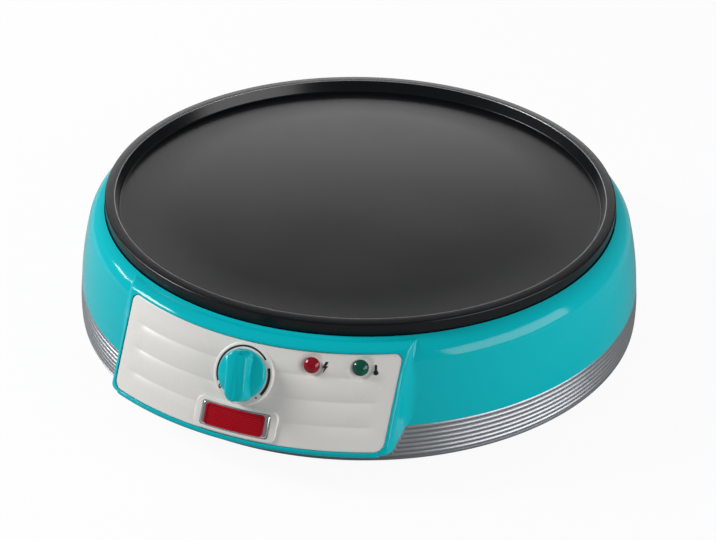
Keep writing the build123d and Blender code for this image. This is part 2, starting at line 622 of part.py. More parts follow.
def make_lamp_holders():
    front = -FASCIA_THICKNESS - LENS_FLANGE
    sleeve = rod(LENS_FLANGE_R, front - HOLDER_LENGTH, front)
    sleeve -= rod(NEON_R + THREAD_GAP, front - HOLDER_LENGTH + 4, front + 1)
    sleeve -= rod(LEAD_R + THREAD_GAP, front - HOLDER_LENGTH - 1, front)
    return [on_fascia(arc, LAMP_UP) * sleeve for arc in (POWER_ARC, READY_ARC)]


def make_badge_frame():
    ring = pad(BADGE_WIDTH, BADGE_HEIGHT, BADGE_CORNER, 0, BADGE_FRAME)
    hole = pad(BADGE_WIDTH - 2 * BADGE_FRAME_END, BADGE_HEIGHT - 2 * BADGE_FRAME_EDGE, 0.6, -1, 9)
    return on_fascia(0, BADGE_UP) * (ring - hole)


def make_badge_plate():
    width = BADGE_WIDTH - 2 * BADGE_FRAME_END - 2 * THREAD_GAP
    height = BADGE_HEIGHT - 2 * BADGE_FRAME_EDGE - 2 * THREAD_GAP
    return on_fascia(0, BADGE_UP) * pad(width, height, 0.6, 0, BADGE_PLATE)


def make_fascia_screws():
    one = screw(M3_R, M3_HEAD_R, M3_HEAD, POD_SKIN - 1.2)
    return [place * Pos(0, 0, -POD_SKIN - THREAD_GAP) * one for place in fascia_fixings()]


# ---- knob and thermostat, in the dial's own frame: z out of the fascia ----
def make_thermostat_knob():
    crown_z = KNOB_BACK + KNOB_EDGE + KNOB_DOME
    ball_r = (KNOB_R ** 2 + KNOB_DOME ** 2) / (2 * KNOB_DOME)
    dome = Pos(0, 0, crown_z - ball_r) * Sphere(ball_r) & rod(KNOB_R, KNOB_BACK, crown_z)
    grip_length = 2 * KNOB_R + GRIP_NOSE
    grip = pad(GRIP_WIDTH, grip_length, GRIP_CORNER_R, KNOB_BACK + KNOB_EDGE * 0.6, KNOB_BACK + GRIP_HEIGHT)
    grip = Pos(0, -GRIP_NOSE / 2, 0) * fillet(grip.edges().group_by(Axis.Z)[-1], GRIP_ROUND)
    grip &= Pos(0, -GRIP_NOSE / 2, 0) * rod(KNOB_R + GRIP_NOSE / 2, KNOB_BACK, KNOB_BACK + GRIP_HEIGHT)
    knob = dome + grip
    hollow_r = KNOB_R - KNOB_WALL
    knob -= rod(hollow_r, KNOB_BACK - 1, KNOB_BACK + KNOB_EDGE)
    knob += rod(SPINDLE_R + HUB_WALL, KNOB_BACK, KNOB_BACK + KNOB_EDGE + 1)
    bore = rod(SPINDLE_R + THREAD_GAP, 0, SPINDLE_OUT + THREAD_GAP)
    return dial_turned(knob - (bore & block(20, 20, 0, 30, x=SPINDLE_FLAT + CLIP + 0.1 - 10)))


def dial_turned(shape):
    """Set a shape that turns with the knob into place at the knob's rest angle."""
    return on_fascia(0, DIAL_UP) * Rot(Z=KNOB_REST_TURN) * shape


def make_thermostat_spindle():
    flat = block(4, 8, KNOB_BACK, SPINDLE_OUT + 1, x=SPINDLE_FLAT + 2)
    return dial_turned(rod(SPINDLE_R, -SPINDLE_IN, SPINDLE_OUT) - flat)


def make_knob_spring_clip():
    leaf = block(CLIP, 3.6, KNOB_BACK + 1, SPINDLE_OUT - 1, x=SPINDLE_FLAT + CLIP / 2)
    return dial_turned(leaf)


def make_thermostat_bush():
    bush = rod(BUSH_R, CASE_OUT, CASE_OUT + BUSH_LENGTH)
    bush += rod(BUSH_R + BUSH_FLANGE, CASE_OUT - CASE_WALL, CASE_OUT)
    return on_fascia(0, DIAL_UP) * (bush - rod(SPINDLE_R + RUNNING_GAP, CASE_BACK, 9))


def make_thermostat_bracket():
    plate = pad(POST_SPACING + 9, 11, 3, CASE_OUT, BRACKET_OUT) - rod(BUSH_R + THREAD_GAP, -20, 0)
    for side in (-1, 1):
        plate -= rod(M3_R + HOLE_GAP, -20, 0, x=side * POST_SPACING / 2)
    return on_fascia(0, DIAL_UP) * plate


def make_thermostat_screws():
    one = screw(M3_R, M3_HEAD_R, M3_HEAD, STRAP + 3.5)
    return [on_fascia(0, DIAL_UP) * Pos(side * POST_SPACING / 2, 0, CASE_OUT) * one for side in (-1, 1)]


def make_thermostat_case():
    case = pad(CASE_WIDTH, CASE_HEIGHT, 2, CASE_BACK, CASE_OUT)
    case -= pad(CASE_WIDTH - 2 * CASE_WALL, CASE_HEIGHT - 2 * CASE_WALL, 1, CASE_BACK + CASE_WALL,
                CASE_OUT - CASE_WALL)
    case -= rod(BUSH_R + BUSH_FLANGE + THREAD_GAP, CASE_OUT - CASE_WALL - 1, CASE_OUT + 1)
    guide_back = CASE_BACK + CASE_WALL - 1
    case += rod(PLUNGER_R + 2, guide_back, plunger_back() + GUIDE_LENGTH)
    case -= rod(PLUNGER_R + RUNNING_GAP, guide_back + 1, plunger_back() + GUIDE_LENGTH + 1)
    for side in (-1, 1):
        case -= block(TAB_WIDTH, TAB_THICKNESS, CASE_BACK - 1, CASE_BACK + CASE_WALL + 1,
                      x=side * TAB_SPACING / 2, y=TAB_Y)
    case -= rod(CAPILLARY_R, CASE_BACK - 1, CASE_BACK + 5, y=CAPILLARY_Y)
    return on_fascia(0, DIAL_UP) * case


def plunger_back():
    """Inner end of the plunger at rest, measured out of the fascia."""
    return -SPINDLE_IN - PLUNGER_REST_GAP - PLUNGER_LENGTH


def make_thermostat_plunger():
    head_out = -SPINDLE_IN - PLUNGER_REST_GAP
    plunger = rod(PLUNGER_R, plunger_back(), head_out)
    plunger += rod(PLUNGER_HEAD_R, head_out - PLUNGER_HEAD, head_out)
    return on_fascia(0, DIAL_UP) * plunger


def make_thermostat_tabs():
    tab = block(TAB_WIDTH - 0.1, TAB_THICKNESS - 0.1, CASE_BACK - TAB_LENGTH, CASE_BACK + CASE_WALL, y=TAB_Y)
    return [on_fascia(0, DIAL_UP) * Pos(side * TAB_SPACING / 2, 0, 0) * tab for side in (-1, 1)]


# ---- sensor, fuse, mains parts and wires ----
def bent_tube(points, radius, bend):
    """Tube along straight runs joined by tangent arcs, each at most as large as its two runs allow."""
    points = [Vector(*point) for point in points]
    runs = [end - start for start, end in zip(points, points[1:])]
    bends = []
    for before, after in zip(runs, runs[1:]):
        half_turn = radians(before.get_angle(after) / 2)
        bends.append(min(bend, 0.45 * min(before.length, after.length) / tan(half_turn)))
    path = FilletPolyline(*points, radius=bends)
    return sweep(Plane(path @ 0, z_dir=path % 0) * Circle(radius), path=path)


def dial_point(x, y, z):
    """A point given in the dial's frame, in the frame of the plate's axis."""
    return tuple((on_fascia(0, DIAL_UP) * Pos(x, y, z)).position)


def capillary_route():
    start = (BULB_LENGTH / 2, BULB_Y, BULB_Z)
    turn_x = start[0] + CAPILLARY_TURN
    end = dial_point(0, CAPILLARY_Y, CASE_BACK)
    return [start, (turn_x, BULB_Y, BULB_Z), (turn_x, BULB_Y, CAPILLARY_LOW_Z),
            dial_point(0, CAPILLARY_Y, CASE_BACK - 26), end]


def make_capillary_tube():
    return bent_tube(capillary_route(), CAPILLARY_R, CAPILLARY_BEND)


def make_sensor_bulb():
    return Pos(0, BULB_Y, BULB_Z) * Rot(Y=90) * Cylinder(BULB_R, BULB_LENGTH)


def make_sensor_clip():
    low = BULB_Z - BULB_R - STRAP
    strap = block(10, 20, low, low + STRAP, y=BULB_Y + 5)
    return strap - rod(M3_R + HOLE_GAP, low - 1, low + 3, y=BULB_Y + CLIP_SCREW_OFFSET)


def make_sensor_screw():
    return Pos(0, BULB_Y + CLIP_SCREW_OFFSET, BULB_Z - BULB_R - STRAP) * screw(M3_R, M3_HEAD_R, M3_HEAD, 6)


def make_thermal_fuse():
    body = Pos(0, FUSE_Y, FUSE_Z) * Rot(Y=90) * Cylinder(FUSE_R, FUSE_LENGTH)
    return body + Pos(0, FUSE_Y, FUSE_Z) * Rot(Y=90) * Cylinder(WIRE_R, FUSE_LENGTH + 8)


def make_fuse_clip():
    """Strap bent round under the fuse, with its two legs up against the reflector pan."""
    loop_r, rise = FUSE_R + FIT_GAP, REFLECTOR_PAN_Z - FUSE_Z
    outer = Circle(loop_r + STRAP) + Pos(0, rise / 2) * Rectangle(2 * (loop_r + STRAP), rise)
    inner = Circle(loop_r) + Pos(0, rise) * Rectangle(2 * loop_r, 2 * rise)
    above = Pos(0, rise + loop_r) * Rectangle(4 * loop_r, 2 * loop_r)
    strap = extrude(Plane.YZ * (outer - inner - above), FUSE_CLIP_WIDTH / 2, both=True)
    return Pos(0, FUSE_Y, FUSE_Z) * strap


def make_terminal_block():
    low = FLOOR_TOP_Z + 1
    body = block(BLOCK_LENGTH, BLOCK_WIDTH, low, low + BLOCK_HEIGHT, y=BLOCK_Y)
    for x, _ in block_poles():
        body -= Pos(x, BLOCK_Y, low + 5) * Rot(X=90) * Cylinder(WIRE_R + 0.9, BLOCK_WIDTH + 2)
        body -= rod(TERMINAL_SCREW_R + 0.1, low + 7, low + BLOCK_HEIGHT + 1, x, BLOCK_Y - 4)
    return body - rod(M3_R + HOLE_GAP, low - 1, low + 4, y=BLOCK_Y)


def block_poles():
    """Where each pole of the terminal block lets a wire in, on the side that faces the middle."""
    pitch = BLOCK_LENGTH / BLOCK_POLES
    return [((i - (BLOCK_POLES - 1) / 2) * pitch, BLOCK_Y - BLOCK_WIDTH / 2) for i in range(BLOCK_POLES)]


def make_terminal_screws():
    low = FLOOR_TOP_Z + 1
    one = rod(TERMINAL_SCREW_R, low + 7, low + BLOCK_HEIGHT - 3)
    one -= block(2 * TERMINAL_SCREW_R - 0.8, SLOT_WIDTH, low + BLOCK_HEIGHT - 4, low + BLOCK_HEIGHT)
    return [Pos(x, BLOCK_Y - 4, 0) * one for x, _ in block_poles()]


def make_block_screw():
    return Pos(0, BLOCK_Y, FOOT_HEIGHT) * screw(M3_R, M3_HEAD_R, M3_HEAD, FLOOR + 4)


def make_cord_gland():
    face_y = base_radius(GLAND_Z) + GLAND_PAD
    outer = Pos(0, face_y + GLAND_FLANGE / 2, 0) * Rot(X=90) * Cylinder(GLAND_FLANGE_R, GLAND_FLANGE)
    sleeve = Pos(0, face_y - GLAND_LENGTH / 2, 0) * Rot(X=90) * Cylinder(GLAND_R - THREAD_GAP, GLAND_LENGTH)
    bore = Pos(0, face_y, 0) * Rot(X=90) * Cylinder(GLAND_BORE_R, 60)
    outer = fillet(outer.edges().group_by(Axis.Y)[-1], GLAND_ROUND)
    return Pos(0, 0, GLAND_Z) * (outer + sleeve - bore)


def earth_point():
    return 34.0, 74.0


def make_earth_screw():
    return Pos(*earth_point(), REFLECTOR_PAN_Z - TAB_THICKNESS) * screw(M4_R, M4_HEAD_R, M4_HEAD, 4)


def make_earth_tag():
    x, y = earth_point()
    low = REFLECTOR_PAN_Z - TAB_THICKNESS
    tag = block(TAB_WIDTH, 18, low, REFLECTOR_PAN_Z, x, y + 5) + rod(4.5, low, REFLECTOR_PAN_Z, x, y)
    return tag - rod(M4_R + HOLE_GAP, low - 1, REFLECTOR_PAN_Z + 1, x, y)


def tab_point(side, behind):
    """A point behind the end of one of the thermostat's two tabs."""
    return dial_point(side * TAB_SPACING / 2, TAB_Y, CASE_BACK - TAB_LENGTH - behind)


def wire_routes():
    """Each wire's route, from terminal to terminal."""
    low = FLOOR_TOP_Z + 6
    left, middle, right = [(x, y, low) for x, y in block_poles()]
    leg_right, leg_left = element_legs()
    tab_z = pin_low_z() - TAB_LENGTH
    fuse_x = FUSE_LENGTH / 2 + 4
    earth_x, earth_y = earth_point()
    tag_y = earth_y + 14
    return {
        "wire_live": [left, (left[0], 70, low), (-50, 10, low), (-40, -80, low + 2),
                      tab_point(-1, 16), tab_point(-1, 0)],
        "wire_switched": [tab_point(1, 0), tab_point(1, 16), (40, -80, low + 2), (50, 10, low),
                          (leg_right.X, 62, low), (leg_right.X, leg_right.Y, low),
                          (leg_right.X, leg_right.Y, tab_z)],
        "wire_neutral": [middle, (middle[0], 84, low), (30, 70, low + 12), (30, FUSE_Y, FUSE_Z),
                         (fuse_x, FUSE_Y, FUSE_Z)],
        "wire_fuse": [(-fuse_x, FUSE_Y, FUSE_Z), (-26, FUSE_Y, FUSE_Z), (leg_left.X - 15, 80, 30),
                      (leg_left.X, leg_left.Y, 14), (leg_left.X, leg_left.Y, tab_z)],
        "wire_earth": [right, (right[0], 96, low), (earth_x, 92, low + 14),
                       (earth_x, tag_y + 6, REFLECTOR_PAN_Z - 6),
                       (earth_x, tag_y, REFLECTOR_PAN_Z - TAB_THICKNESS - WIRE_R)],
    }


def make_lamp_leads():
    """Leads from the two lamps to the thermostat's outer tab."""
    back = -FASCIA_THICKNESS - LENS_FLANGE - HOLDER_LENGTH
    leads = []
    for arc, tab_y in ((POWER_ARC, -3.7), (READY_ARC, -6.3)):
        place = on_fascia(arc, LAMP_UP)
        start = tuple((place * Pos(0, 0, back + 2)).position)
        turn = tuple((place * Pos(0, 0, back - 8)).position)
        end = dial_point(12, tab_y, CASE_BACK - TAB_LENGTH / 2)
        leads.append(bent_tube([start, turn, end], LEAD_R, LEAD_BEND))
    return leads


# ---- write one STEP file for each sub-part ----
def sub_parts():
    parts = {
        "cooking_plate": make_cooking_plate(),
        "upper_housing": make_upper_housing(),
        "base_tray": make_base_tray(),
        "rubber_feet": make_rubber_feet(),
        "housing_screws": make_housing_screws(),
        "heating_element": make_heating_element(),
        "element_insulators": make_element_insulators(),
        "element_terminals": make_element_terminals(),
        "element_clamps": make_element_clamps(),
        "element_clamp_screws": make_element_clamp_screws(),
        "heat_reflector": make_heat_reflector(),
        "plate_brackets": make_plate_brackets(),
        "plate_screws": make_plate_screws(),
        "control_fascia": make_control_fascia(),
        "fascia_screws": make_fascia_screws(),
        "power_lens": make_lens(POWER_ARC),
        "ready_lens": make_lens(READY_ARC),
        "neon_lamps": make_neon_lamps(),
        "lamp_holders": make_lamp_holders(),
        "badge_frame": make_badge_frame(),
        "badge_plate": make_badge_plate(),
        "thermostat_knob": make_thermostat_knob(),
        "thermostat_spindle": make_thermostat_spindle(),
        "knob_spring_clip": make_knob_spring_clip(),
        "thermostat_bush": make_thermostat_bush(),
        "thermostat_bracket": make_thermostat_bracket(),
        "thermostat_screws": make_thermostat_screws(),
        "thermostat_case": make_thermostat_case(),
        "thermostat_plunger": make_thermostat_plunger(),
        "thermostat_tabs": make_thermostat_tabs(),
        "capillary_tube": make_capillary_tube(),
        "sensor_bulb": make_sensor_bulb(),
        "sensor_clip": make_sensor_clip(),
        "sensor_screw": make_sensor_screw(),
        "thermal_fuse": make_thermal_fuse(),
        "fuse_clip": make_fuse_clip(),
        "terminal_block": make_terminal_block(),
        "terminal_screws": make_terminal_screws(),
        "block_screw": make_block_screw(),
        "cord_gland": make_cord_gland(),
        "earth_tag": make_earth_tag(),
        "earth_screw": make_earth_screw(),
        "lamp_leads": make_lamp_leads(),
    }
    for name, route in wire_routes().items():
        parts[name] = bent_tube(route, WIRE_R, WIRE_BEND)
    return {name: Compound(shape) if isinstance(shape, list) else shape for name, shape in parts.items()}


def main():
    os.makedirs("parts", exist_ok=True)
    parts = sub_parts()
    boxes = [shape.bounding_box() for shape in parts.values()]
    middle_y = (min(box.min.Y for box in boxes) + max(box.max.Y for box in boxes)) / 2
    print("plate axis at y =", round(-middle_y, 4))
    for name, shape in parts.items():
        export_step(Pos(0, -middle_y, 0) * shape, f"parts/{name}.step")


main()
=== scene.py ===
"""Looks of an electric crepe maker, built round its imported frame.

All lengths are metres in the part's own frame: +Z up, the control pod faces -Y.
"""
import json
import logging
import math
from contextlib import contextmanager
from dataclasses import dataclass
from enum import Enum
from functools import lru_cache
from typing import Callable, Iterable, Iterator, Sequence

import bpy
import numpy as np
from mathutils import Matrix, Vector


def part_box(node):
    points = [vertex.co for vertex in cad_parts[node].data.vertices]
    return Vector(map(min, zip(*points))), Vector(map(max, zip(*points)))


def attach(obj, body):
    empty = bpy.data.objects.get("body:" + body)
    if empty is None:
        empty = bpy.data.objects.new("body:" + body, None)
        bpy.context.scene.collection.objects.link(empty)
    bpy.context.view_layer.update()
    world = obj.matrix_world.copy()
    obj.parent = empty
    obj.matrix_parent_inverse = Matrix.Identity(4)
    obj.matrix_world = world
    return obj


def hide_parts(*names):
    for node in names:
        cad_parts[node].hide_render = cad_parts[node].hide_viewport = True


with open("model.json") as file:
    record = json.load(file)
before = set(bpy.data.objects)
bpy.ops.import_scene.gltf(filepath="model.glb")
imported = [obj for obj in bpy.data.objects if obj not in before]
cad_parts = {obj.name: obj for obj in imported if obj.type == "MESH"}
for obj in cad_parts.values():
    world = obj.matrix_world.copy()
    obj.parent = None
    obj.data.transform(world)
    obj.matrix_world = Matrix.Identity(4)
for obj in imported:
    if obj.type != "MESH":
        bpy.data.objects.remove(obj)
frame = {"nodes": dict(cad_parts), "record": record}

Piece = bpy.types.Object
Tree = bpy.types.NodeTree
Socket = bpy.types.NodeSocket
Pair = tuple[float, float]

log = logging.getLogger("crepe_maker")
MM = 0.001
TAU = 2 * math.pi
TINY = 1e-9
MERGE = 0.001 * MM
SIDEWAYS = Matrix.Rotation(TAU / 4, 4, "X")
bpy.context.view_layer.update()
PLATE_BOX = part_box("cooking_plate")
AXIS_Y = (PLATE_BOX[0].y + PLATE_BOX[1].y) / 2
PLATE_AXIS = Matrix.Translation((0, AXIS_Y, 0))
BODY = "housing"
KNOB_BODY = "knob"


# ---- finishes ----
NOISE_SPAN = {"From Min": 0.15, "From Max": 0.85}
LEAST_ROUGHNESS = 0.02
FLAKE_SIZE = 0.55 * MM  # Real flakes are finer; these are as coarse as they need to be to show.
FLAKE_REACH = 0.35
FLAKE_COLOUR = "D8DADE"


def linear(code: str) -> tuple[float, float, float, float]:
    """Turn an sRGB hex colour into the linear one that shaders take.

    Args:
        code: Six hex digits, such as "00B4B9".

    Returns:
        Linear red, green, blue and an alpha of 1.
    """
    channels = [int(code[i:i + 2], 16) / 255 for i in (0, 2, 4)]
    lit = [c / 12.92 if c <= 0.04045 else ((c + 0.055) / 1.055) ** 2.4 for c in channels]
    return (lit[0], lit[1], lit[2], 1.0)


def add_node(tree: Tree, kind: str, settings: dict | None = None,
             links: dict | None = None) -> bpy.types.Node:
    """Add a node with its settings and its incoming links.

    Args:
        tree: The tree that the node goes into.
        kind: The node's type name, without the leading "ShaderNode".
        settings: Values by property name, or by input name or index.
        links: Output sockets by the name or index of the input they feed.

    Returns:
        The new node.
    """
    node = tree.nodes.new("ShaderNode" + kind)
    for key, value in (settings or {}).items():
        if isinstance(key, str) and hasattr(node, key):
            setattr(node, key, value)
        else:
            node.inputs[key].default_value = value
    for key, source in (links or {}).items():
        tree.links.new(source, node.inputs[key])
    return node


def empty_tree(owner: bpy.types.Material | bpy.types.World) -> Tree:
    """Give a new material or world an empty tree.

    Args:
        owner: The material or world.

    Returns:
        Its node tree.
    """
    owner.use_nodes = True
    owner.node_tree.nodes.clear()
    return owner.node_tree


class Grain(Enum):
    """How the fine relief of a surface is laid out."""

    SPRAYED = (1.0, 1.0, 1.0)
    DRAWN_ACROSS = (0.08, 1.0, 1.0)


@dataclass(frozen=True)
class Finish:
    """One finished surface: its colour, its sheen and the relief that its making leaves."""

    name: str
    colour: str
    second_colour: str
    roughness: float
    roughness_spread: float = 0.04
    mottle: float = 30 * MM
    grain: float = 1.2 * MM
    grain_depth: float = 0.004 * MM
    grain_kind: Grain = Grain.SPRAYED
    metallic: float = 0.0
    transmission: float = 0.0
    ior: float = 1.5
    sparkle: float = 0.0

    @lru_cache(maxsize=None)
    def material(self) -> bpy.types.Material:
        """Build the finish once.

        Returns:
            The material, with its colour, roughness and relief driven by noise in object space.
        """
        made = bpy.data.materials.new(self.name)
        tree = empty_tree(made)
        spot = add_node(tree, "TexCoord").outputs["Object"]
        mottle = add_node(tree, "TexNoise", {"Scale": 1 / self.mottle, "Detail": 3.0},
                          {"Vector": spot}).outputs["Fac"]
        least = max(self.roughness - self.roughness_spread, LEAST_ROUGHNESS)
        sheen = add_node(tree, "MapRange", NOISE_SPAN | {
            "To Min": least, "To Max": self.roughness + self.roughness_spread}, {"Value": mottle})
        laid = add_node(tree, "Mapping", {"Scale": self.grain_kind.value}, {"Vector": spot})
        grain = add_node(tree, "TexNoise", {"Scale": 1 / self.grain, "Detail": 2.0},
                         {"Vector": laid.outputs["Vector"]})
        relief = add_node(tree, "Bump", {"Strength": 1.0, "Distance": self.grain_depth},
                          {"Height": grain.outputs["Fac"]})
        shader = add_node(tree, "BsdfPrincipled", {
            "Metallic": self.metallic, "IOR": self.ior, "Transmission Weight": self.transmission},
            {"Base Color": self.tint(tree, mottle, spot), "Roughness": sheen.outputs["Result"],
             "Normal": relief.outputs["Normal"]})
        add_node(tree, "OutputMaterial", links={"Surface": shader.outputs["BSDF"]})
        return made

    def tint(self, tree: Tree, mottle: Socket, spot: Socket) -> Socket:
        """Blend the two colours, with bright specks where the finish sparkles.

        Args:
            tree: The material's tree.
            mottle: Slow noise that blends the two colours.
            spot: Object coordinates.

        Returns:
            The colour socket.
        """
        blend = add_node(tree, "Mix", {"data_type": "RGBA", 6: linear(self.colour),
                                       7: linear(self.second_colour)}, {0: mottle})
        if not self.sparkle:
            return blend.outputs[2]
        specks = add_node(tree, "TexVoronoi", {"Scale": 1 / FLAKE_SIZE}, {"Vector": spot})
        bright = add_node(tree, "MapRange", {
            "From Min": 0.0, "From Max": FLAKE_REACH, "To Min": self.sparkle, "To Max": 0.0},
            {"Value": specks.outputs["Distance"]})
        lifted = add_node(tree, "Mix", {"data_type": "RGBA", 7: linear(FLAKE_COLOUR)},
                          {0: bright.outputs["Result"], 6: blend.outputs[2]})
        return lifted.outputs[2]


# Die-cast aluminium with a sprayed PTFE coating: a soft sheen and a fine pebble.
COATING = Finish("nonstick_ptfe_coating", "08090C", "0C0D10", 0.24, 0.03, 60 * MM, 0.9 * MM,
                 0.02 * MM, ior=1.36, sparkle=0.010)
# Painted highlight: a light grey line along the rim's inner edge, standing in for the light that
# its rounding catches.
PAINTED_RIM_HIGHLIGHT = Finish("painted_highlight_rim_line", "9A9CA0", "A8AAAE", 0.30, 0.04, 20 * MM,
                   metallic=0.5)
# Injection-moulded gloss ABS: a deep colour under a clear skin with a faint orange peel.
TURQUOISE = Finish("gloss_abs_turquoise", "00B5C0", "00B9C3", 0.09, 0.02, 90 * MM, 9 * MM,
                   0.008 * MM, ior=1.3)
# The same plastic in cream, less polished: broad soft highlights over the flutes.
CREAM = Finish("gloss_abs_cream", "E2E0DB", "E6E4E0", 0.28, 0.03, 50 * MM, 5 * MM, 0.006 * MM,
               ior=1.4)
# Silver metallic lacquer on ABS: fine flakes that glint, no clear reflection.
SILVER = Finish("silver_lacquer_abs", "989B9F", "A0A3A8", 0.34, 0.04, 25 * MM, 0.5 * MM,
                0.004 * MM, metallic=0.75, sparkle=0.12)
# Bright chrome on plastic: clear reflections with dark and light streaks along the frame.
CHROME = Finish("bright_chrome_plating", "D9DADC", "DFE0E2", 0.06, 0.02, 12 * MM, metallic=1.0)
# Red moulded plastic, half gloss: each rib shows one soft line of light.
BADGE_RED = Finish("gloss_abs_red", "B0061C", "B80A22", 0.22, 0.04, 8 * MM, 0.7 * MM,
                   0.004 * MM, ior=1.35)
# Tinted polycarbonate: a wet shine over a deep colour that lets a little light in.
RED_LENS = Finish("polycarbonate_red", "A00A24", "8A0A1E", 0.10, 0.02, 3 * MM, 0.9 * MM,
                  0.05 * MM, transmission=0.12, ior=1.4)
GREEN_LENS = Finish("polycarbonate_green", "065C48", "054E3E", 0.10, 0.02, 3 * MM, 0.9 * MM,
                    0.05 * MM, transmission=0.12, ior=1.4)
# Screen-printed ink: a flat dark film without gloss, in near black and in dark maroon.
INK = Finish("screen_print_ink_black", "17171A", "1D1D20", 0.45, 0.05, 3 * MM, 0.3 * MM)
DARK_INK = Finish("screen_print_ink_maroon", "2B1216", "33161A", 0.45, 0.05, 3 * MM, 0.3 * MM)
# Moulded rubber: dull and slightly grey, with no highlight.
RUBBER = Finish("moulded_rubber_black", "1B1B1C", "222223", 0.75, 0.06, 6 * MM, 0.6 * MM,
                0.02 * MM)
# Zinc plate on steel: a greyish metal whose shine varies in small patches.
ZINC = Finish("zinc_plated_steel", "A9ABAD", "B9BABB", 0.32, 0.08, 5 * MM, 0.4 * MM, 0.006 * MM,
              metallic=1.0)
# Annealed steel sheath: heat-browned metal, blotchy and nearly dull.
SHEATH = Finish("annealed_steel_sheath", "5C544C", "76695C", 0.5, 0.1, 8 * MM, 0.5 * MM,
                0.01 * MM, metallic=1.0)
# Aluminised sheet as rolled: a bright metal with fine marks along the rolling direction.
REFLECTOR = Finish("aluminised_steel_sheet", "B4B6B8", "C2C4C6", 0.28, 0.06, 20 * MM, 0.8 * MM,
                   0.006 * MM, Grain.DRAWN_ACROSS, metallic=1.0)
# Unglazed steatite: chalky off-white with a dry face.
STEATITE = Finish("unglazed_steatite", "E0DAC8", "EAE5D6", 0.7, 0.05, 4 * MM, 0.4 * MM,
                  0.02 * MM)
# Turned brass and drawn copper: warm metals, with a soft shine that their machining leaves.
BRASS = Finish("turned_brass", "B8954E", "C9A865", 0.28, 0.06, 5 * MM, 0.4 * MM, 0.005 * MM,
               metallic=1.0)
COPPER = Finish("drawn_copper", "B06A48", "C07B58", 0.3, 0.06, 6 * MM, 0.5 * MM, 0.005 * MM,
                metallic=1.0)
# Thin glass with a warm tint, nearly clear.
NEON_GLASS = Finish("neon_lamp_glass", "F0DCC8", "F4E6D6", 0.05, 0.01, 4 * MM, transmission=0.9,
                    ior=1.47)
# Natural nylon: milky white with a waxy, half-dull face.
NYLON = Finish("natural_nylon", "E4E1D6", "EAE8DE", 0.5, 0.05, 10 * MM, 0.7 * MM, 0.01 * MM)
# Moulded phenolic: dark brown, nearly black, and half dull.
PHENOLIC = Finish("moulded_phenolic", "1C1613", "261D18", 0.45, 0.06, 6 * MM, 0.5 * MM,
                  0.01 * MM)
# Silicone insulation: soft colour, no clear highlight. The earth wire is green and yellow.
BROWN_WIRE = Finish("silicone_insulation_brown", "5A3520", "653D26", 0.55, 0.05, 10 * MM,
                    0.5 * MM)
BLUE_WIRE = Finish("silicone_insulation_blue", "1C4698", "2450A6", 0.55, 0.05, 10 * MM,
                   0.5 * MM)
EARTH_WIRE = Finish("silicone_insulation_green_yellow", "5C9A28", "D8C832", 0.55, 0.05, 4 * MM,
                    0.5 * MM)
# Woven glass sleeve: matt white with the fine bumps of its braid.
WHITE_WIRE = Finish("glass_fibre_sleeve_white", "E6E5E1", "F0EFEC", 0.8, 0.04, 10 * MM,
                    0.25 * MM, 0.05 * MM)

SLOT_FINISHES: dict[str, Finish] = {
    "plate": COATING, "turquoise": TURQUOISE, "silver": SILVER, "cream": CREAM,
    "rubber": RUBBER, "steel": ZINC, "sheath": SHEATH, "reflector": REFLECTOR,
    "ceramic": STEATITE, "brass": BRASS, "copper": COPPER, "red_lens": RED_LENS,
    "green_lens": GREEN_LENS, "glass": NEON_GLASS, "nylon": NYLON, "chrome": CHROME,
    "badge_red": BADGE_RED, "phenolic": PHENOLIC, "wire_brown": BROWN_WIRE,
    "wire_blue": BLUE_WIRE, "wire_earth": EARTH_WIRE, "wire_white": WHITE_WIRE,
}


def dress_nodes() -> None:
    """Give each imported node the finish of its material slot."""
    slots = {part["node"]: part["material_slot"] for part in frame["record"]["subparts"]}
    for name, node in frame["nodes"].items():
        node.data.materials.clear()
        node.data.materials.append(SLOT_FINISHES[slots[name]].material())


# ---- selecting and editing ----
def deselect_all() -> None:
    """Leave edit mode and select nothing."""
    if bpy.context.object and bpy.context.object.mode != "OBJECT":
        bpy.ops.object.mode_set(mode="OBJECT")
    bpy.ops.object.select_all(action="DESELECT")


def activate(*pieces: Piece) -> None:
    """Select these pieces alone, the first one active.

    Args:
        pieces: The objects to select.
    """
    deselect_all()
    for piece in pieces:
        piece.select_set(True)
    bpy.context.view_layer.objects.active = pieces[0]


@contextmanager
def editing(piece: Piece) -> Iterator[None]:
    """Edit one piece with all of it selected, and leave edit mode at the end.

    Args:
        piece: The object to edit.

    Yields:
        Nothing, while edit mode is on.
    """
    activate(piece)
    bpy.ops.object.mode_set(mode="EDIT")
    bpy.ops.mesh.select_all(action="SELECT")
    yield
    bpy.ops.object.mode_set(mode="OBJECT")


def face_outwards() -> None:
    """Turn every face of the mesh being edited outwards."""
    bpy.ops.mesh.select_all(action="SELECT")
    bpy.ops.mesh.normals_make_consistent(inside=False)


def apply_modifier(piece: Piece, kind: str, **settings: object) -> None:
    """Add a modifier to a piece and apply it.

    Args:
        piece: The object to change.
        kind: The modifier's type.
        settings: The modifier's own settings.
    """
    activate(piece)
    modifier = piece.modifiers.new(kind.lower(), kind)
    for key, value in settings.items():
        setattr(modifier, key, value)
    bpy.ops.object.modifier_apply(modifier=modifier.name)


def bevel_sharp(piece: Piece, width: float, angle: float) -> None:
    """Round every edge sharper than an angle, with two faces.

    Args:
        piece: The object to change.
        width: How far the rounding reaches from the edge.
        angle: The least angle between faces, in degrees, that is rounded.
    """
    apply_modifier(piece, "BEVEL", width=width, segments=2, limit_method="ANGLE",
                   angle_limit=math.radians(angle))


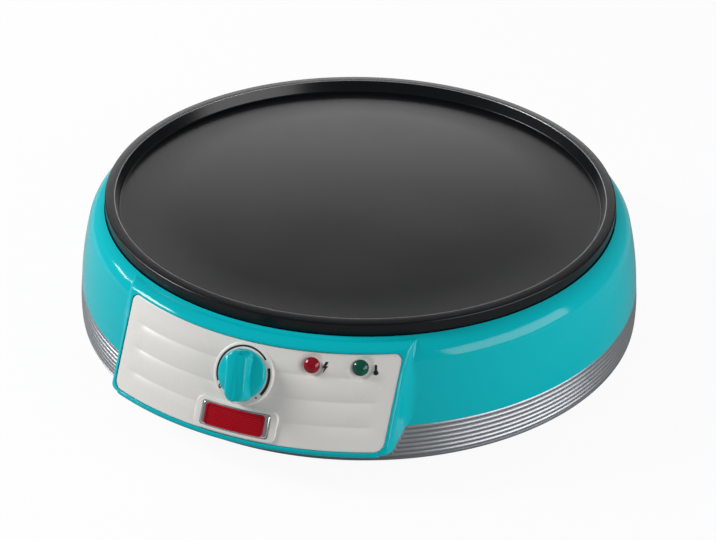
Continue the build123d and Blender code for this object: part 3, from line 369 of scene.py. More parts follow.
def bevel_where(piece: Piece, wanted: Callable[[Vector, Vector], bool], width: float,
                segments: int) -> None:
    """Round only the wanted edges.

    Args:
        piece: The object to change.
        wanted: Says from an edge's two ends whether it is rounded.
        width: How far the rounding reaches from the edge.
        segments: How many faces it has.
    """
    with editing(piece):
        bpy.ops.mesh.select_mode(type="EDGE")
        bpy.ops.mesh.select_all(action="DESELECT")
    points = piece.data.vertices
    for edge in piece.data.edges:
        edge.select = wanted(*(points[i].co for i in edge.vertices))
    bpy.ops.object.mode_set(mode="EDIT")
    bpy.ops.mesh.bevel(offset=width, segments=segments, affect="EDGES")
    bpy.ops.object.mode_set(mode="OBJECT")


def combine(piece: Piece, operation: str, tools: Iterable[Piece]) -> None:
    """Combine a closed piece with closed tools and remove the tools.

    Args:
        piece: The object to change.
        operation: The Boolean modifier's operation.
        tools: What it is combined with.
    """
    for tool in tools:
        apply_modifier(piece, "BOOLEAN", operation=operation, object=tool, solver="MANIFOLD")
        bpy.data.objects.remove(tool)


def cut_away(piece: Piece, *tools: Piece) -> None:
    """Cut closed tools out of a closed piece."""
    combine(piece, "DIFFERENCE", tools)


def joined(pieces: Sequence[Piece]) -> Piece:
    """Join two or more pieces into the first of them.

    Args:
        pieces: The objects to join.

    Returns:
        The first piece, which now holds them all.
    """
    activate(*pieces)
    bpy.ops.object.join()
    return pieces[0]


def reshape(piece: Piece, move: Callable[[Vector], Vector]) -> Piece:
    """Move each point of a mesh.

    Args:
        piece: The object whose mesh is changed.
        move: Gives a point's new place from its old one.

    Returns:
        The same piece.
    """
    for vertex in piece.data.vertices:
        vertex.co = move(vertex.co)
    piece.data.update()
    return piece


def place(piece: Piece, where: Matrix) -> Piece:
    """Put a piece into place and leave its object at the origin.

    Args:
        piece: The object to place.
        where: Its own frame, in the part's frame.

    Returns:
        The same piece.
    """
    activate(piece)
    piece.matrix_world = where @ piece.matrix_world
    bpy.ops.object.transform_apply(location=True, rotation=True, scale=True)
    return piece


def finish_piece(piece: Piece, name: str, finish: Finish, body: str = BODY,
                 replaces: Sequence[str] = (), smooth: float = 35.0) -> Piece:
    """Name, smooth, dress and mount a finished piece.

    Args:
        piece: The object.
        name: Its name.
        finish: What its surface is.
        body: The body that it rides on.
        replaces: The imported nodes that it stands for.
        smooth: Edges sharper than this, in degrees, stay crisp.

    Returns:
        The same piece.
    """
    piece.name = name
    piece.data.name = name
    piece.data.materials.clear()
    piece.data.materials.append(finish.material())
    activate(piece)
    bpy.ops.object.shade_smooth_by_angle(angle=math.radians(smooth))
    if replaces:
        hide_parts(*replaces)
    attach(piece, body)
    return piece


# ---- basic shapes ----
def round_circle(radius: float, degrees: Iterable[float]) -> list[Pair]:
    """Spots on a circle about the origin, at angles from +X."""
    turns = [math.radians(angle) for angle in degrees]
    return [(radius * math.cos(turn), radius * math.sin(turn)) for turn in turns]


def cylinder(radius: float, low: float, high: float, spot: Pair = (0.0, 0.0),
             vertices: int = 48) -> Piece:
    """Upright cylinder between two heights.

    Args:
        radius: Its radius.
        low: Height of its underside.
        high: Height of its top.
        spot: Where it stands.
        vertices: How many corners it has.

    Returns:
        The new object.
    """
    deselect_all()
    bpy.ops.mesh.primitive_cylinder_add(vertices=vertices, radius=radius, depth=high - low,
                                        location=(*spot, (low + high) / 2))
    return bpy.context.object


def block(width: float, depth: float, low: float, high: float, ahead: float = 0.0) -> Piece:
    """Plain block between two heights, to be shaped further.

    Args:
        width: Its size along x.
        depth: Its size along y.
        low: Height of its underside.
        high: Height of its top.
        ahead: How far its middle lies towards +Y.

    Returns:
        The new object.
    """
    deselect_all()
    bpy.ops.mesh.primitive_cube_add(size=1, location=(0, ahead, (low + high) / 2))
    bpy.context.object.scale = (width, depth, high - low)
    bpy.ops.object.transform_apply()
    return bpy.context.object


def rounded_block(width: float, depth: float, low: float, high: float, corner: float,
                  edge: float = 0.0) -> Piece:
    """Block with rounded upright corners and rounded top edges.

    Args:
        width: Its size along x.
        depth: Its size along y.
        low: Height of its underside.
        high: Height of its top.
        corner: Radius of the upright corners.
        edge: Radius of the top's edges.

    Returns:
        The new object.
    """
    piece = block(width, depth, low, high)
    bevel_where(piece, lambda a, b: abs(a.z - b.z) > (high - low) / 2, corner, 8)
    if edge:
        bevel_where(piece, lambda a, b: min(a.z, b.z) > high - MM / 100, edge, 4)
    return piece


def drawn(points: Sequence[tuple[float, float, float]], closed: bool = True) -> Piece:
    """Draw a line by extruding one point from corner to corner.

    Args:
        points: The corners.
        closed: Whether the last corner joins the first.

    Returns:
        A new object of edges.
    """
    deselect_all()
    bpy.ops.mesh.primitive_plane_add(size=MM, location=points[0])
    bpy.ops.object.transform_apply()
    with editing(bpy.context.object):
        bpy.ops.mesh.select_mode(type="VERT")
        bpy.ops.mesh.select_all(action="SELECT")
        bpy.ops.mesh.merge(type="CENTER")
        corners = [*points, points[0]] if closed else points
        for here, there in zip(corners, corners[1:]):
            step = Vector(there) - Vector(here)
            bpy.ops.mesh.extrude_region_move(TRANSFORM_OT_translate={"value": step})
        bpy.ops.mesh.select_all(action="SELECT")
        bpy.ops.mesh.remove_doubles(threshold=MERGE)
    return bpy.context.object


def turned(points: Sequence[Pair], steps: int = 96, sector: float = TAU, start: float = 0.0,
           closed: bool = True) -> Piece:
    """Turn a section about the z axis.

    Args:
        points: The section's corners as (radius, height).
        steps: How many faces go round.
        sector: How far it turns, in radians.
        start: The azimuth at which it starts.
        closed: Whether the section is a closed outline. An open one starts and ends on the axis.

    Returns:
        The turned object, closed and facing outwards.
    """
    piece = drawn([(r * math.cos(start), r * math.sin(start), z) for r, z in points], closed)
    with editing(piece):
        bpy.ops.mesh.spin(steps=steps, angle=-sector, center=(0, 0, 0), axis=(0, 0, 1))
        bpy.ops.mesh.select_all(action="SELECT")
        bpy.ops.mesh.remove_doubles(threshold=2 * MERGE)
        if sector < TAU:
            bpy.ops.mesh.fill_holes(sides=0)
        face_outwards()
    return piece


def ring(inner: float, outer: float, low: float, high: float, steps: int = 96,
         sector: float = TAU, start: float = 0.0, draft: float = 0.0) -> Piece:
    """Turn a section of four corners.

    Args:
        inner: Radius of its bore.
        outer: Radius of its outside at its low end.
        low: Height of its underside.
        high: Height of its top.
        steps: How many faces go round.
        sector: How far it turns, in radians.
        start: The azimuth at which it starts.
        draft: How much wider its outside is at the top.

    Returns:
        The turned object.
    """
    corners = [(inner, low), (outer, low), (outer + draft, high), (inner, high)]
    return turned(corners, steps, sector, start)


def flat_shape(points: Sequence[Pair], thickness: float) -> Piece:
    """Make a flat plate of any outline, its underside at z = 0.

    Args:
        points: The outline's corners.
        thickness: Its thickness.

    Returns:
        The new object.
    """
    piece = drawn([(x, y, 0.0) for x, y in points])
    with editing(piece):
        bpy.ops.mesh.edge_face_add()
        bpy.ops.mesh.extrude_region_move(TRANSFORM_OT_translate={"value": (0, 0, thickness)})
        face_outwards()
    return piece


def slice_across(piece: Piece, half_width: float, count: int) -> Piece:
    """Divide a flat piece into strips along x, so that it can follow a curve.

    Args:
        piece: The object.
        half_width: Half its size along x.
        count: How many strips.

    Returns:
        The same piece.
    """
    with editing(piece):
        for i in range(1, count):
            bpy.ops.mesh.select_all(action="SELECT")
            x = -half_width + 2 * half_width * i / count
            bpy.ops.mesh.bisect(plane_co=(x, 0, 0), plane_no=(1, 0, 0))
    return piece


def quads(index: np.ndarray) -> np.ndarray:
    """Four-sided faces over a grid of point numbers."""
    corners = [index[:-1, :-1], index[:-1, 1:], index[1:, 1:], index[1:, :-1]]
    return np.stack(corners, -1).reshape(-1, 4)


def mesh_object(name: str, points: np.ndarray, faces: np.ndarray) -> Piece:
    """Object of given points and faces, linked to the scene and facing outwards.

    Args:
        name: The object's name.
        points: One row for each point.
        faces: Four point numbers for each face.

    Returns:
        The new object.
    """
    mesh = bpy.data.meshes.new(name)
    mesh.from_pydata(points.tolist(), [], faces.tolist())
    mesh.update()
    piece = bpy.data.objects.new(name, mesh)
    bpy.context.scene.collection.objects.link(piece)
    with editing(piece):
        bpy.ops.mesh.remove_doubles(threshold=MERGE / 2)
        bpy.ops.mesh.normals_make_consistent(inside=False)
    return piece


def arc_through(start: Pair, middle: Pair, end: Pair, steps: int = 16) -> list[Pair]:
    """Points of a circular arc through three places.

    Args:
        start: Where it starts.
        middle: A place that it passes.
        end: Where it ends.
        steps: How many chords it has.

    Returns:
        The points after the start, the end included.
    """
    (ax, ay), (bx, by), (cx, cy) = start, middle, end
    d = 2 * (ax * (by - cy) + bx * (cy - ay) + cx * (ay - by))
    sa, sb, sc = ax * ax + ay * ay, bx * bx + by * by, cx * cx + cy * cy
    ux = (sa * (by - cy) + sb * (cy - ay) + sc * (ay - by)) / d
    uy = (sa * (cx - bx) + sb * (ax - cx) + sc * (bx - ax)) / d
    first = math.atan2(ay - uy, ax - ux)
    way = 1 if d > 0 else -1
    turn = ((math.atan2(cy - uy, cx - ux) - first) * way) % TAU * way
    radius = math.hypot(ax - ux, ay - uy)
    angles = [first + turn * i / steps for i in range(1, steps + 1)]
    return [(ux + radius * math.cos(a), uy + radius * math.sin(a)) for a in angles]


def rounded_corner(before: Pair, corner: Pair, after: Pair, radius: float,
                   steps: int = 6) -> list[Pair]:
    """Points that round a corner of an outline.

    Args:
        before: The corner before it.
        corner: The corner itself.
        after: The corner after it.
        radius: The rounding's radius.
        steps: How many chords it has.

    Returns:
        The points of the arc, both ends included.
    """
    here = Vector(corner)
    back, on = (Vector(before) - here).normalized(), (Vector(after) - here).normalized()
    half = back.angle(on) / 2
    reach = radius / math.tan(half)
    start, end = tuple(here + back * reach), tuple(here + on * reach)
    centre = here + (back + on).normalized() * (radius / math.sin(half))
    middle = centre + (here - centre).normalized() * radius
    return [start] + arc_through(start, tuple(middle), end, steps)


# ---- the leaning face that the controls stand on: a cone about the plate's axis ----
@dataclass(frozen=True)
class LeaningFace:
    """The control face. across is measured along x, up is up its slope, out is square to it."""

    lean: float = math.radians(29.6)
    low_r: float = 184.5 * MM
    low_z: float = 24.0 * MM
    slant: float = 50.6 * MM
    half_width: float = 77.5 * MM
    corner: float = 4.5 * MM

    def section(self, up: float, out: float) -> Pair:
        """Radius and height of a place on the slope."""
        r = self.low_r - up * math.sin(self.lean) + out * math.cos(self.lean)
        return r, self.low_z + up * math.cos(self.lean) + out * math.sin(self.lean)

    def point(self, across: float, up: float, out: float) -> Vector:
        """Place of a point given along, up and out of the face."""
        r, z = self.section(up, out)
        return Vector((across, AXIS_Y - math.sqrt(r * r - across * across), z))

    def frame(self, arc: float, up: float) -> Matrix:
        """Frame that touches the face: x along it, y up the slope, z out of it.

        Args:
            arc: Distance round from the middle, along the face.
            up: Distance up the slope.

        Returns:
            The frame as a matrix.
        """
        r, z = self.section(up, 0)
        sine, cosine = math.sin(arc / r), math.cos(arc / r)
        along = Vector((cosine, sine, 0))
        flat = math.cos(self.lean)
        outward = Vector((sine * flat, -cosine * flat, math.sin(self.lean)))
        axes = Matrix((along, outward.cross(along), outward)).transposed().to_4x4()
        origin = Matrix.Translation((r * sine, AXIS_Y - r * cosine, z))
        return origin @ axes

    def wrap(self, piece: Piece, up: float) -> Piece:
        """Lay a flat piece on the face, with its own origin at a height up the slope."""
        return reshape(piece, lambda p: self.point(p.x, up + p.y, p.z))


FACE = LeaningFace()
DIAL_FRAME = FACE.frame(0, 33.7 * MM)
BADGE_UP = 8.9 * MM
LAMP_UP = 43.6 * MM
POWER_ARC, READY_ARC = LAMP_ARCS = (34.7 * MM, 60.1 * MM)
POST_SPOTS = round_circle(155.0 * MM, (0, 60, 120, 180, 236, 304))
POD_FOOT = (183.2 * MM, 19.6 * MM)


@dataclass
class Panel:
    """Slab with a rounded-rectangle outline that follows the leaning face."""

    across_steps: int
    up_steps: int
    corner_steps: int = 6

    def surface(self, grow: float) -> np.ndarray:
        """Points over the face's outline, grown by a distance, as (across, up).

        Args:
            grow: How far the outline stands outside the face's own.

        Returns:
            An array of up_steps + 1 rows by across_steps + 1 columns by two.
        """
        radius = FACE.corner + grow
        flat_x, flat_y = FACE.half_width + grow - radius, FACE.slant / 2 + grow - radius
        x, y = np.meshgrid(self.lines(flat_x, radius, self.across_steps),
                           self.lines(flat_y, radius, self.up_steps))
        s = np.clip((np.abs(x) - flat_x) / radius, 0, 1)
        t = np.clip((np.abs(y) - flat_y) / radius, 0, 1)
        in_corner = (s > 0) & (t > 0)
        round_x = np.sign(x) * (flat_x + radius * s * np.sqrt(1 - t * t / 2))
        round_y = np.sign(y) * (flat_y + radius * t * np.sqrt(1 - s * s / 2))
        return np.stack([np.where(in_corner, round_x, x),
                         np.where(in_corner, round_y, y) + FACE.slant / 2], -1)

    def lines(self, flat: float, radius: float, steps: int) -> np.ndarray:
        """Grid lines from edge to edge, closer together in the corners.

        Args:
            flat: Half the length between the corners.
            radius: The corners' radius.
            steps: How many gaps there are between the lines.

        Returns:
            The lines' places, from below zero to above.
        """
        corner = np.linspace(flat, flat + radius, self.corner_steps + 1)[1:]
        middle = np.linspace(-flat, flat, steps + 1 - 2 * self.corner_steps)
        return np.concatenate([-corner[::-1], middle, corner])

    def slab(self, name: str, walls: Sequence[Pair],
             relief: Callable[[np.ndarray, np.ndarray], np.ndarray] | None = None) -> Piece:
        """Closed slab whose walls pass through steps of (out, grow).

        Args:
            name: The object's name.
            walls: How far out and how much grown each ring of the wall is, from back to front.
            relief: Height of the front surface over (across, up), or none where it is plain.

        Returns:
            The new object.
        """
        rows, columns = self.up_steps + 1, self.across_steps + 1
        index = np.arange(rows * columns).reshape(rows, columns)
        rim = np.concatenate([index[0, :-1], index[:-1, -1], index[-1, :0:-1], index[:0:-1, 0]])
        front = self.surface(walls[-1][1])
        height = relief(front[..., 0], front[..., 1]) if relief else 0.0
        sheets = [self.laid(self.surface(walls[0][1]), walls[0][0]),
                  self.laid(front, height + walls[-1][0])]
        sheets += [self.laid(self.surface(grow).reshape(-1, 2)[rim], out)
                   for out, grow in walls[1:-1]]
        loops = [rim] + [2 * rows * columns + k * len(rim) + np.arange(len(rim))
                         for k in range(len(walls) - 2)] + [rows * columns + rim]
        faces = [quads(index), quads(rows * columns + index)]
        for low, high in zip(loops, loops[1:]):
            faces.append(np.stack([low, np.roll(low, -1), np.roll(high, -1), high], -1))
        return mesh_object(name, np.concatenate(sheets), np.concatenate(faces))

    @staticmethod
    def laid(flat: np.ndarray, out: np.ndarray | float) -> np.ndarray:
        """Points on the leaning face for flat ones and their heights."""
        outs = np.broadcast_to(out, flat.shape[:-1]).ravel()
        return np.array([FACE.point(a, u, o) for (a, u), o in zip(flat.reshape(-1, 2), outs)])


# ---- cooking plate ----
@dataclass
class CookingPlate:
    """Die-cast plate with a raised rim, four bosses and the ribs that hold the element."""

    radius: float = 150.0 * MM
    top_z: float = 80.0 * MM
    dish_z: float = 73.0 * MM
    dish_rings: Pair = (60.0 * MM, 110.0 * MM)
    rim_width: float = 6.0 * MM
    rim_slope: float = 2.1 * MM
    roundings: tuple[float, ...] = (1.0 * MM, 0.7 * MM, 0.9 * MM, 0.5 * MM, 0.4 * MM)
    skirt_z: float = 66.0 * MM
    skirt_wall: float = 5.5 * MM
    under_z: float = 68.5 * MM
    sunk: float = 1.0 * MM
    boss_radius: float = 6.0 * MM
    boss_bore: float = 2.05 * MM
    boss_draft: float = 0.4 * MM
    boss_circle: float = 124.0 * MM
    boss_z: float = 60.5 * MM
    rib_radii: Pair = (91.0 * MM, 99.0 * MM)
    rib_half: float = 0.5 * MM
    rib_drop: float = 3.5 * MM
    highlight_radius: float = 0.45 * MM
    highlight_round: float = 0.66 * MM
    highlight_offset: Pair = (0.26 * MM, -0.34 * MM)

    def section(self) -> list[Pair]:
        """Outline of the plate.

        Returns:
            Its corners, from the top's middle round to the underside's middle.
        """
        lip_r, skirt_r = self.radius - self.rim_width, self.radius - self.skirt_wall
        corners = [(lip_r - self.rim_slope, self.dish_z), (lip_r, self.top_z),
                   (self.radius, self.top_z), (self.radius, self.skirt_z),
                   (skirt_r, self.skirt_z)]
        ends = [(0.0, self.dish_z)] + corners + [(skirt_r, self.under_z)]
        outline = [(r, self.dish_z) for r in (0.0, *self.dish_rings)]
        for before, corner, after, radius in zip(ends, corners, ends[2:], self.roundings):
            outline += rounded_corner(before, corner, after, radius)
        return outline + [(skirt_r, self.under_z), (0.0, self.under_z)]

    def painted_highlight_line(self) -> Piece:
        """Painted highlight: a fine light line along the rim's inner edge, proud of its rounding.

        Returns:
            The finished piece.
        """
        lip = (self.radius - self.rim_width, self.top_z)
        slope = (lip[0] - self.rim_slope, self.dish_z)
        arc = rounded_corner(slope, lip, (self.radius, self.top_z), self.highlight_round, 8)
        middle = Vector(arc[4]) + Vector(self.highlight_offset)
        bead = [(middle.x + x, middle.y + y)
                for x, y in round_circle(self.highlight_radius, np.arange(0, 360, 22.5))]
        # The bead's light finish is a painted highlight on the rim's rounded inner edge.
        return finish_piece(place(turned(bead, 256), PLATE_AXIS), "plate_rim_painted_highlight", PAINTED_RIM_HIGHLIGHT)

    def build(self) -> list[Piece]:
        """Model and dress the plate.

        Returns:
            The casting and the painted highlight line along its rim.
        """
        high = self.under_z + self.sunk
        parts = [turned(self.section(), steps=256, closed=False)]
        parts += [ring(r - self.rib_half, r + self.rib_half, self.under_z - self.rib_drop, high)
                  for r in self.rib_radii]
        for spot in round_circle(self.boss_circle, (45, 135, 225, 315)):
            boss = ring(self.boss_bore, self.boss_radius, self.boss_z, high, 32,
                        draft=self.boss_draft)
            parts.append(place(boss, Matrix.Translation((*spot, 0))))
        casting = finish_piece(place(joined(parts), PLATE_AXIS), "plate_casting", COATING,
                               replaces=["cooking_plate"])
        return [casting, self.painted_highlight_line()]


# ---- turquoise housing ----
@dataclass
class Housing:
    """Moulded shell with the control pod: its skin is laid on rays from inside the wall."""

    centre: Pair = (140.0 * MM, 60.0 * MM)
    lip_r: float = 150.65 * MM
    top_z: float = 73.0 * MM
    shoulder: Pair = (157.5 * MM, 68.0 * MM)
    waist: Pair = (160.65 * MM, 61.0 * MM)
    side: Pair = (164.3 * MM, 45.0 * MM)
    base_r: float = 166.7 * MM
    base_z: float = 27.0 * MM
    wall: float = 2.5 * MM
    pod_wall: float = 5.3 * MM
    ledge_r: float = 141.65 * MM
    ledge_z: float = 66.0 * MM
    lip_fall: float = 0.4 * MM
    bead: float = 0.6 * MM
    low_border: float = 2.6 * MM
    top_border: float = 1.4 * MM
    mouth_round: Pair = (1.7 * MM, -0.9 * MM)
    crown_bulge: Pair = (-2.6 * MM, 1.7 * MM)
    pod_rounds: tuple[float, float, float] = (1.3 * MM, 2.0 * MM, 1.2 * MM)
    root_out: float = 0.3 * MM
    half_width: float = 80.3 * MM
    width_y: float = -165.0 * MM
    flare: float = math.radians(7)
    edge_blend: float = 4.5 * MM
    crease_blend: float = 8.0 * MM
    corner_round: float = 4.0 * MM
    foot_drop: float = 0.8 * MM
    front_cosine: float = 0.2
    least_along: float = 0.2
    parallel: float = 1e-6
    halvings: int = 30
    azimuth_runs: tuple[tuple[float, float, float], ...] = (
        (0, 22, 1.0), (22, 33, 0.16), (33, 40, 0.5), (40, 180, 1.5))
    ray_ends: tuple[float, ...] = (32, 31.7, 20, 19, -36, -36.4)
    ray_counts: tuple[int, ...] = (22, 40, 56, 44)
    inner_rays: int = 24
    recess: float = 2.65 * MM
    fit_gap: float = 0.15 * MM
    rim_round: float = 0.55 * MM
    rim_flare: float = 0.5 * MM
    rim_degrees: tuple[float, ...] = (20, 40, 60, 75)
    opening_span: Pair = (-11.0 * MM, 1.0 * MM)
    opening_corner: float = 0.5 * MM
    dial_opening: Pair = (48.0 * MM, 26.0 * MM)
    badge_opening: Pair = (30.4 * MM, 7.0 * MM)
    lamp_hole: float = 6.75 * MM
    screw_hole: float = 1.8 * MM
    screw_arc: float = 70.0 * MM
    screw_ups: Pair = (12.0 * MM, 31.0 * MM)
    post: tuple[float, ...] = (1.3 * MM, 4.0 * MM, 14.2 * MM, 64.2 * MM)

    def shell_outline(self) -> list[Pair]:
        """Section of the plain shell's outside.

        Returns:
            Its corners, from the shell's mouth down to its lower edge.
        """
        mouth, foot = (self.lip_r, self.top_z), (self.base_r, self.base_z)
        return ([mouth] + arc_through(mouth, self.shoulder, self.waist, 60)
                + arc_through(self.waist, self.side, foot, 60))

    def pod_outline(self) -> list[Pair]:
        """Section of the pod's outside.

        Returns:
            Its corners, from the plate's mouth over the face to the pod's underside.
        """
        mouth = (self.lip_r, self.top_z)
        top = FACE.section(FACE.slant + self.top_border, self.bead)
        low = FACE.section(-self.low_border, self.bead)
        lip, bulge = ((a[0] + b[0], a[1] + b[1])
                      for a, b in ((mouth, self.mouth_round), (top, self.crown_bulge)))
        root = (self.base_r + self.root_out, self.base_z)
        crown = [lip] + arc_through(lip, bulge, top, 24)
        outline = [mouth] + crown[:-3]
        corners = (crown[-4], top, low, POD_FOOT, root)
        for before, corner, after, radius in zip(corners, corners[1:], corners[2:],
                                                 self.pod_rounds):
            outline += rounded_corner(before, corner, after, radius, 10)
        return outline + [root]

    def reach(self, outline: list[Pair], rays: np.ndarray) -> np.ndarray:
        """Distance from the centre to an outline along each ray.

        Args:
            outline: The section's corners.
            rays: The rays' angles above the horizontal.

        Returns:
            One distance for each ray.
        """
        corners = np.array(outline)
        chords = [np.linspace(a, b, 24, endpoint=False) for a, b in zip(corners, corners[1:])]
        x, z = (np.concatenate(chords + [corners[-1:]]) - np.array(self.centre)).T
        angles = np.arctan2(z, x)
        order = np.argsort(angles)
        return np.interp(rays, angles[order], np.hypot(x, z)[order])

    def side_reach(self, rays: np.ndarray, azimuths: np.ndarray) -> np.ndarray:
        """Distance along each ray at which it meets the pod's side wall, for each azimuth.

        Args:
            rays: The rays' angles above the horizontal.
            azimuths: Angles from -Y towards +X.

        Returns:
            An array of distances, rays by azimuths, nothing behind the pod.
        """
        lean, flare = math.tan(FACE.lean), math.tan(self.flare)
        narrow = np.abs(np.sin(azimuths)) + np.cos(azimuths) * flare
        room = (self.half_width - self.width_y * flare
                - (self.centre[1] - FACE.low_z) * lean * flare)
        along = np.outer(np.cos(rays), narrow) + (np.sin(rays) * lean * flare)[:, None]
        distance = (room - self.centre[0] * narrow)[None, :] / np.maximum(along, self.parallel)
        distance = np.where(along > self.parallel, np.clip(distance, 0, 1), 1.0)
        distance *= np.cos(azimuths) > self.front_cosine
        return distance - self.corner_back(distance, rays, np.maximum(along, self.least_along))

    def corner_back(self, distance: np.ndarray, rays: np.ndarray,
                    along: np.ndarray) -> np.ndarray:
        """How much sooner each ray ends where the pod's lower corners are rounded.

        Args:
            distance: Distances at which the rays meet the side wall.
            rays: The rays' angles above the horizontal.
            along: How far a ray nears the side wall for each unit of its length.

        Returns:
            Lengths, nothing away from the corners.
        """
        least, most = np.zeros_like(distance), np.full_like(distance, 5 * self.corner_round)
        for _ in range(self.halvings):
            back = (least + most) / 2
            out = self.centre[0] + (distance - back) * np.cos(rays)[:, None] - FACE.low_r
            rise = self.centre[1] + (distance - back) * np.sin(rays)[:, None] - FACE.low_z
            up = (rise * math.cos(FACE.lean) - out * math.sin(FACE.lean)
                  + self.low_border + self.foot_drop)
            low = np.clip(1 - up / self.corner_round, 0, 1)
            short = back * along < self.corner_round * (1 - np.sqrt(1 - low ** 2))
            least, most = np.where(short, back, least), np.where(short, most, back)
        return most

    @staticmethod
    def blend(a: np.ndarray, b: np.ndarray, width: np.ndarray) -> np.ndarray:
        """Greater of two distances, with a smooth passage where they are near each other."""
        near = np.clip(1 - np.abs(a - b) / np.maximum(width, TINY), 0, 1)
        return np.maximum(a, b) + near ** 2 * width / 4

    def skin(self, rays: np.ndarray, azimuths: np.ndarray, shell_in: float,
             pod_in: float) -> np.ndarray:
        """Section points of one skin, over rays and azimuths.

        Args:
            rays: The rays' angles above the horizontal.
            azimuths: Angles from -Y towards +X.
            shell_in: How far the skin lies inside the shell's outside.
            pod_in: How far it lies inside the pod's face.

        Returns:
            An array of (radius, height), rays by azimuths.
        """
        shell = self.reach(self.shell_outline(), rays)[:, None] - shell_in
        pod = self.reach(self.pod_outline(), rays)[:, None] - pod_in
        side = self.side_reach(rays, azimuths) - shell_in
        room = np.clip(pod - shell, 0, self.crease_blend)
        boxed = -self.blend(-pod, -side, np.minimum(self.edge_blend, room))
        reach = self.blend(shell, boxed, room)
        ways = np.stack([np.cos(rays), np.sin(rays)], -1)[:, None]
        return np.array(self.centre) + reach[..., None] * ways

    def grid(self) -> np.ndarray:
        """Points of the whole shell, over closed loops of rows and columns.

        Returns:
            An array of rows by columns by three.
        """
        degrees = np.concatenate([np.arange(*run) for run in self.azimuth_runs])
        azimuths = np.radians(np.concatenate([-degrees[:0:-1], degrees]))
        top_ray, low_ray = (math.atan2(z - self.centre[1], r - self.centre[0]) for r, z in
                            ((self.lip_r, self.top_z), (self.base_r, self.base_z)))
        ends = [top_ray, *np.radians(self.ray_ends), low_ray]
        rays = np.concatenate([np.linspace(*run) for run in
                               zip(ends[::2], ends[1::2], self.ray_counts)])
        under = self.ledge_z - self.wall
        ledge = [(self.lip_r + self.wall, under), (self.ledge_r, under),
                 (self.ledge_r, self.ledge_z), (self.lip_r, self.ledge_z),
                 (self.lip_r, self.top_z - self.lip_fall)]
        inner_rays = np.linspace(low_ray, 0.0, self.inner_rays)
        rows = np.concatenate([
            self.skin(rays, azimuths, 0.0, 0.0),
            self.skin(inner_rays, azimuths, self.wall, self.pod_wall),
            np.repeat(np.array(ledge)[:, None], len(azimuths), axis=1)])
        r, z = rows[..., 0], rows[..., 1]
        return np.stack([r * np.sin(azimuths), AXIS_Y - r * np.cos(azimuths), z], -1)

    def build(self) -> Piece:
        """Model and dress the housing.

        Returns:
            The finished shell.
        """
        points = self.grid()
        index = np.arange(points[..., 0].size).reshape(points.shape[:2])
        piece = mesh_object("housing_shell", points.reshape(-1, 3),
                            quads(np.pad(index, (0, 1), mode="wrap")))
        cut_away(piece, self.recess_tool(), *self.openings())
        posts = [place(ring(*self.post, 24), Matrix.Translation((x, AXIS_Y + y, 0)))
                 for x, y in POST_SPOTS]
        return finish_piece(joined([piece] + posts), "housing_shell", TURQUOISE,
                            replaces=["upper_housing"], smooth=40.0)

    def openings(self) -> list[Piece]:
        """Tools for what passes through the pod's wall behind the fascia.

        Returns:
            One closed object for each opening.
        """
        span = self.opening_span
        tools = [place(rounded_block(*size, *span, self.opening_corner), where)
                 for size, where in ((self.dial_opening, DIAL_FRAME),
                                     (self.badge_opening, FACE.frame(0, BADGE_UP)))]
        tools += [place(cylinder(self.lamp_hole, *span), FACE.frame(arc, LAMP_UP))
                  for arc in LAMP_ARCS]
        return tools + [place(cylinder(self.screw_hole, *span, vertices=24),
                              FACE.frame(arc, up))
                        for arc in (-self.screw_arc, self.screw_arc) for up in self.screw_ups]

    def recess_tool(self) -> Piece:
        """Block that cuts the fascia's recess, flared at its mouth to round the rim.

        Returns:
            The closed object.
        """
        lip, base = self.rim_round, self.bead - self.rim_round
        walls = [(-self.recess, self.fit_gap), (base, self.fit_gap)]
        turns = np.radians(self.rim_degrees)
        walls += [(base + lip * math.sin(turn), self.fit_gap + lip * (1 - math.cos(turn)))
                  for turn in turns]
        out, grow = walls[-1]
        walls.append((out + self.rim_flare, grow + self.rim_flare * math.tan(turns[-1])))
        return Panel(64, 24).slab("recess_tool", walls)


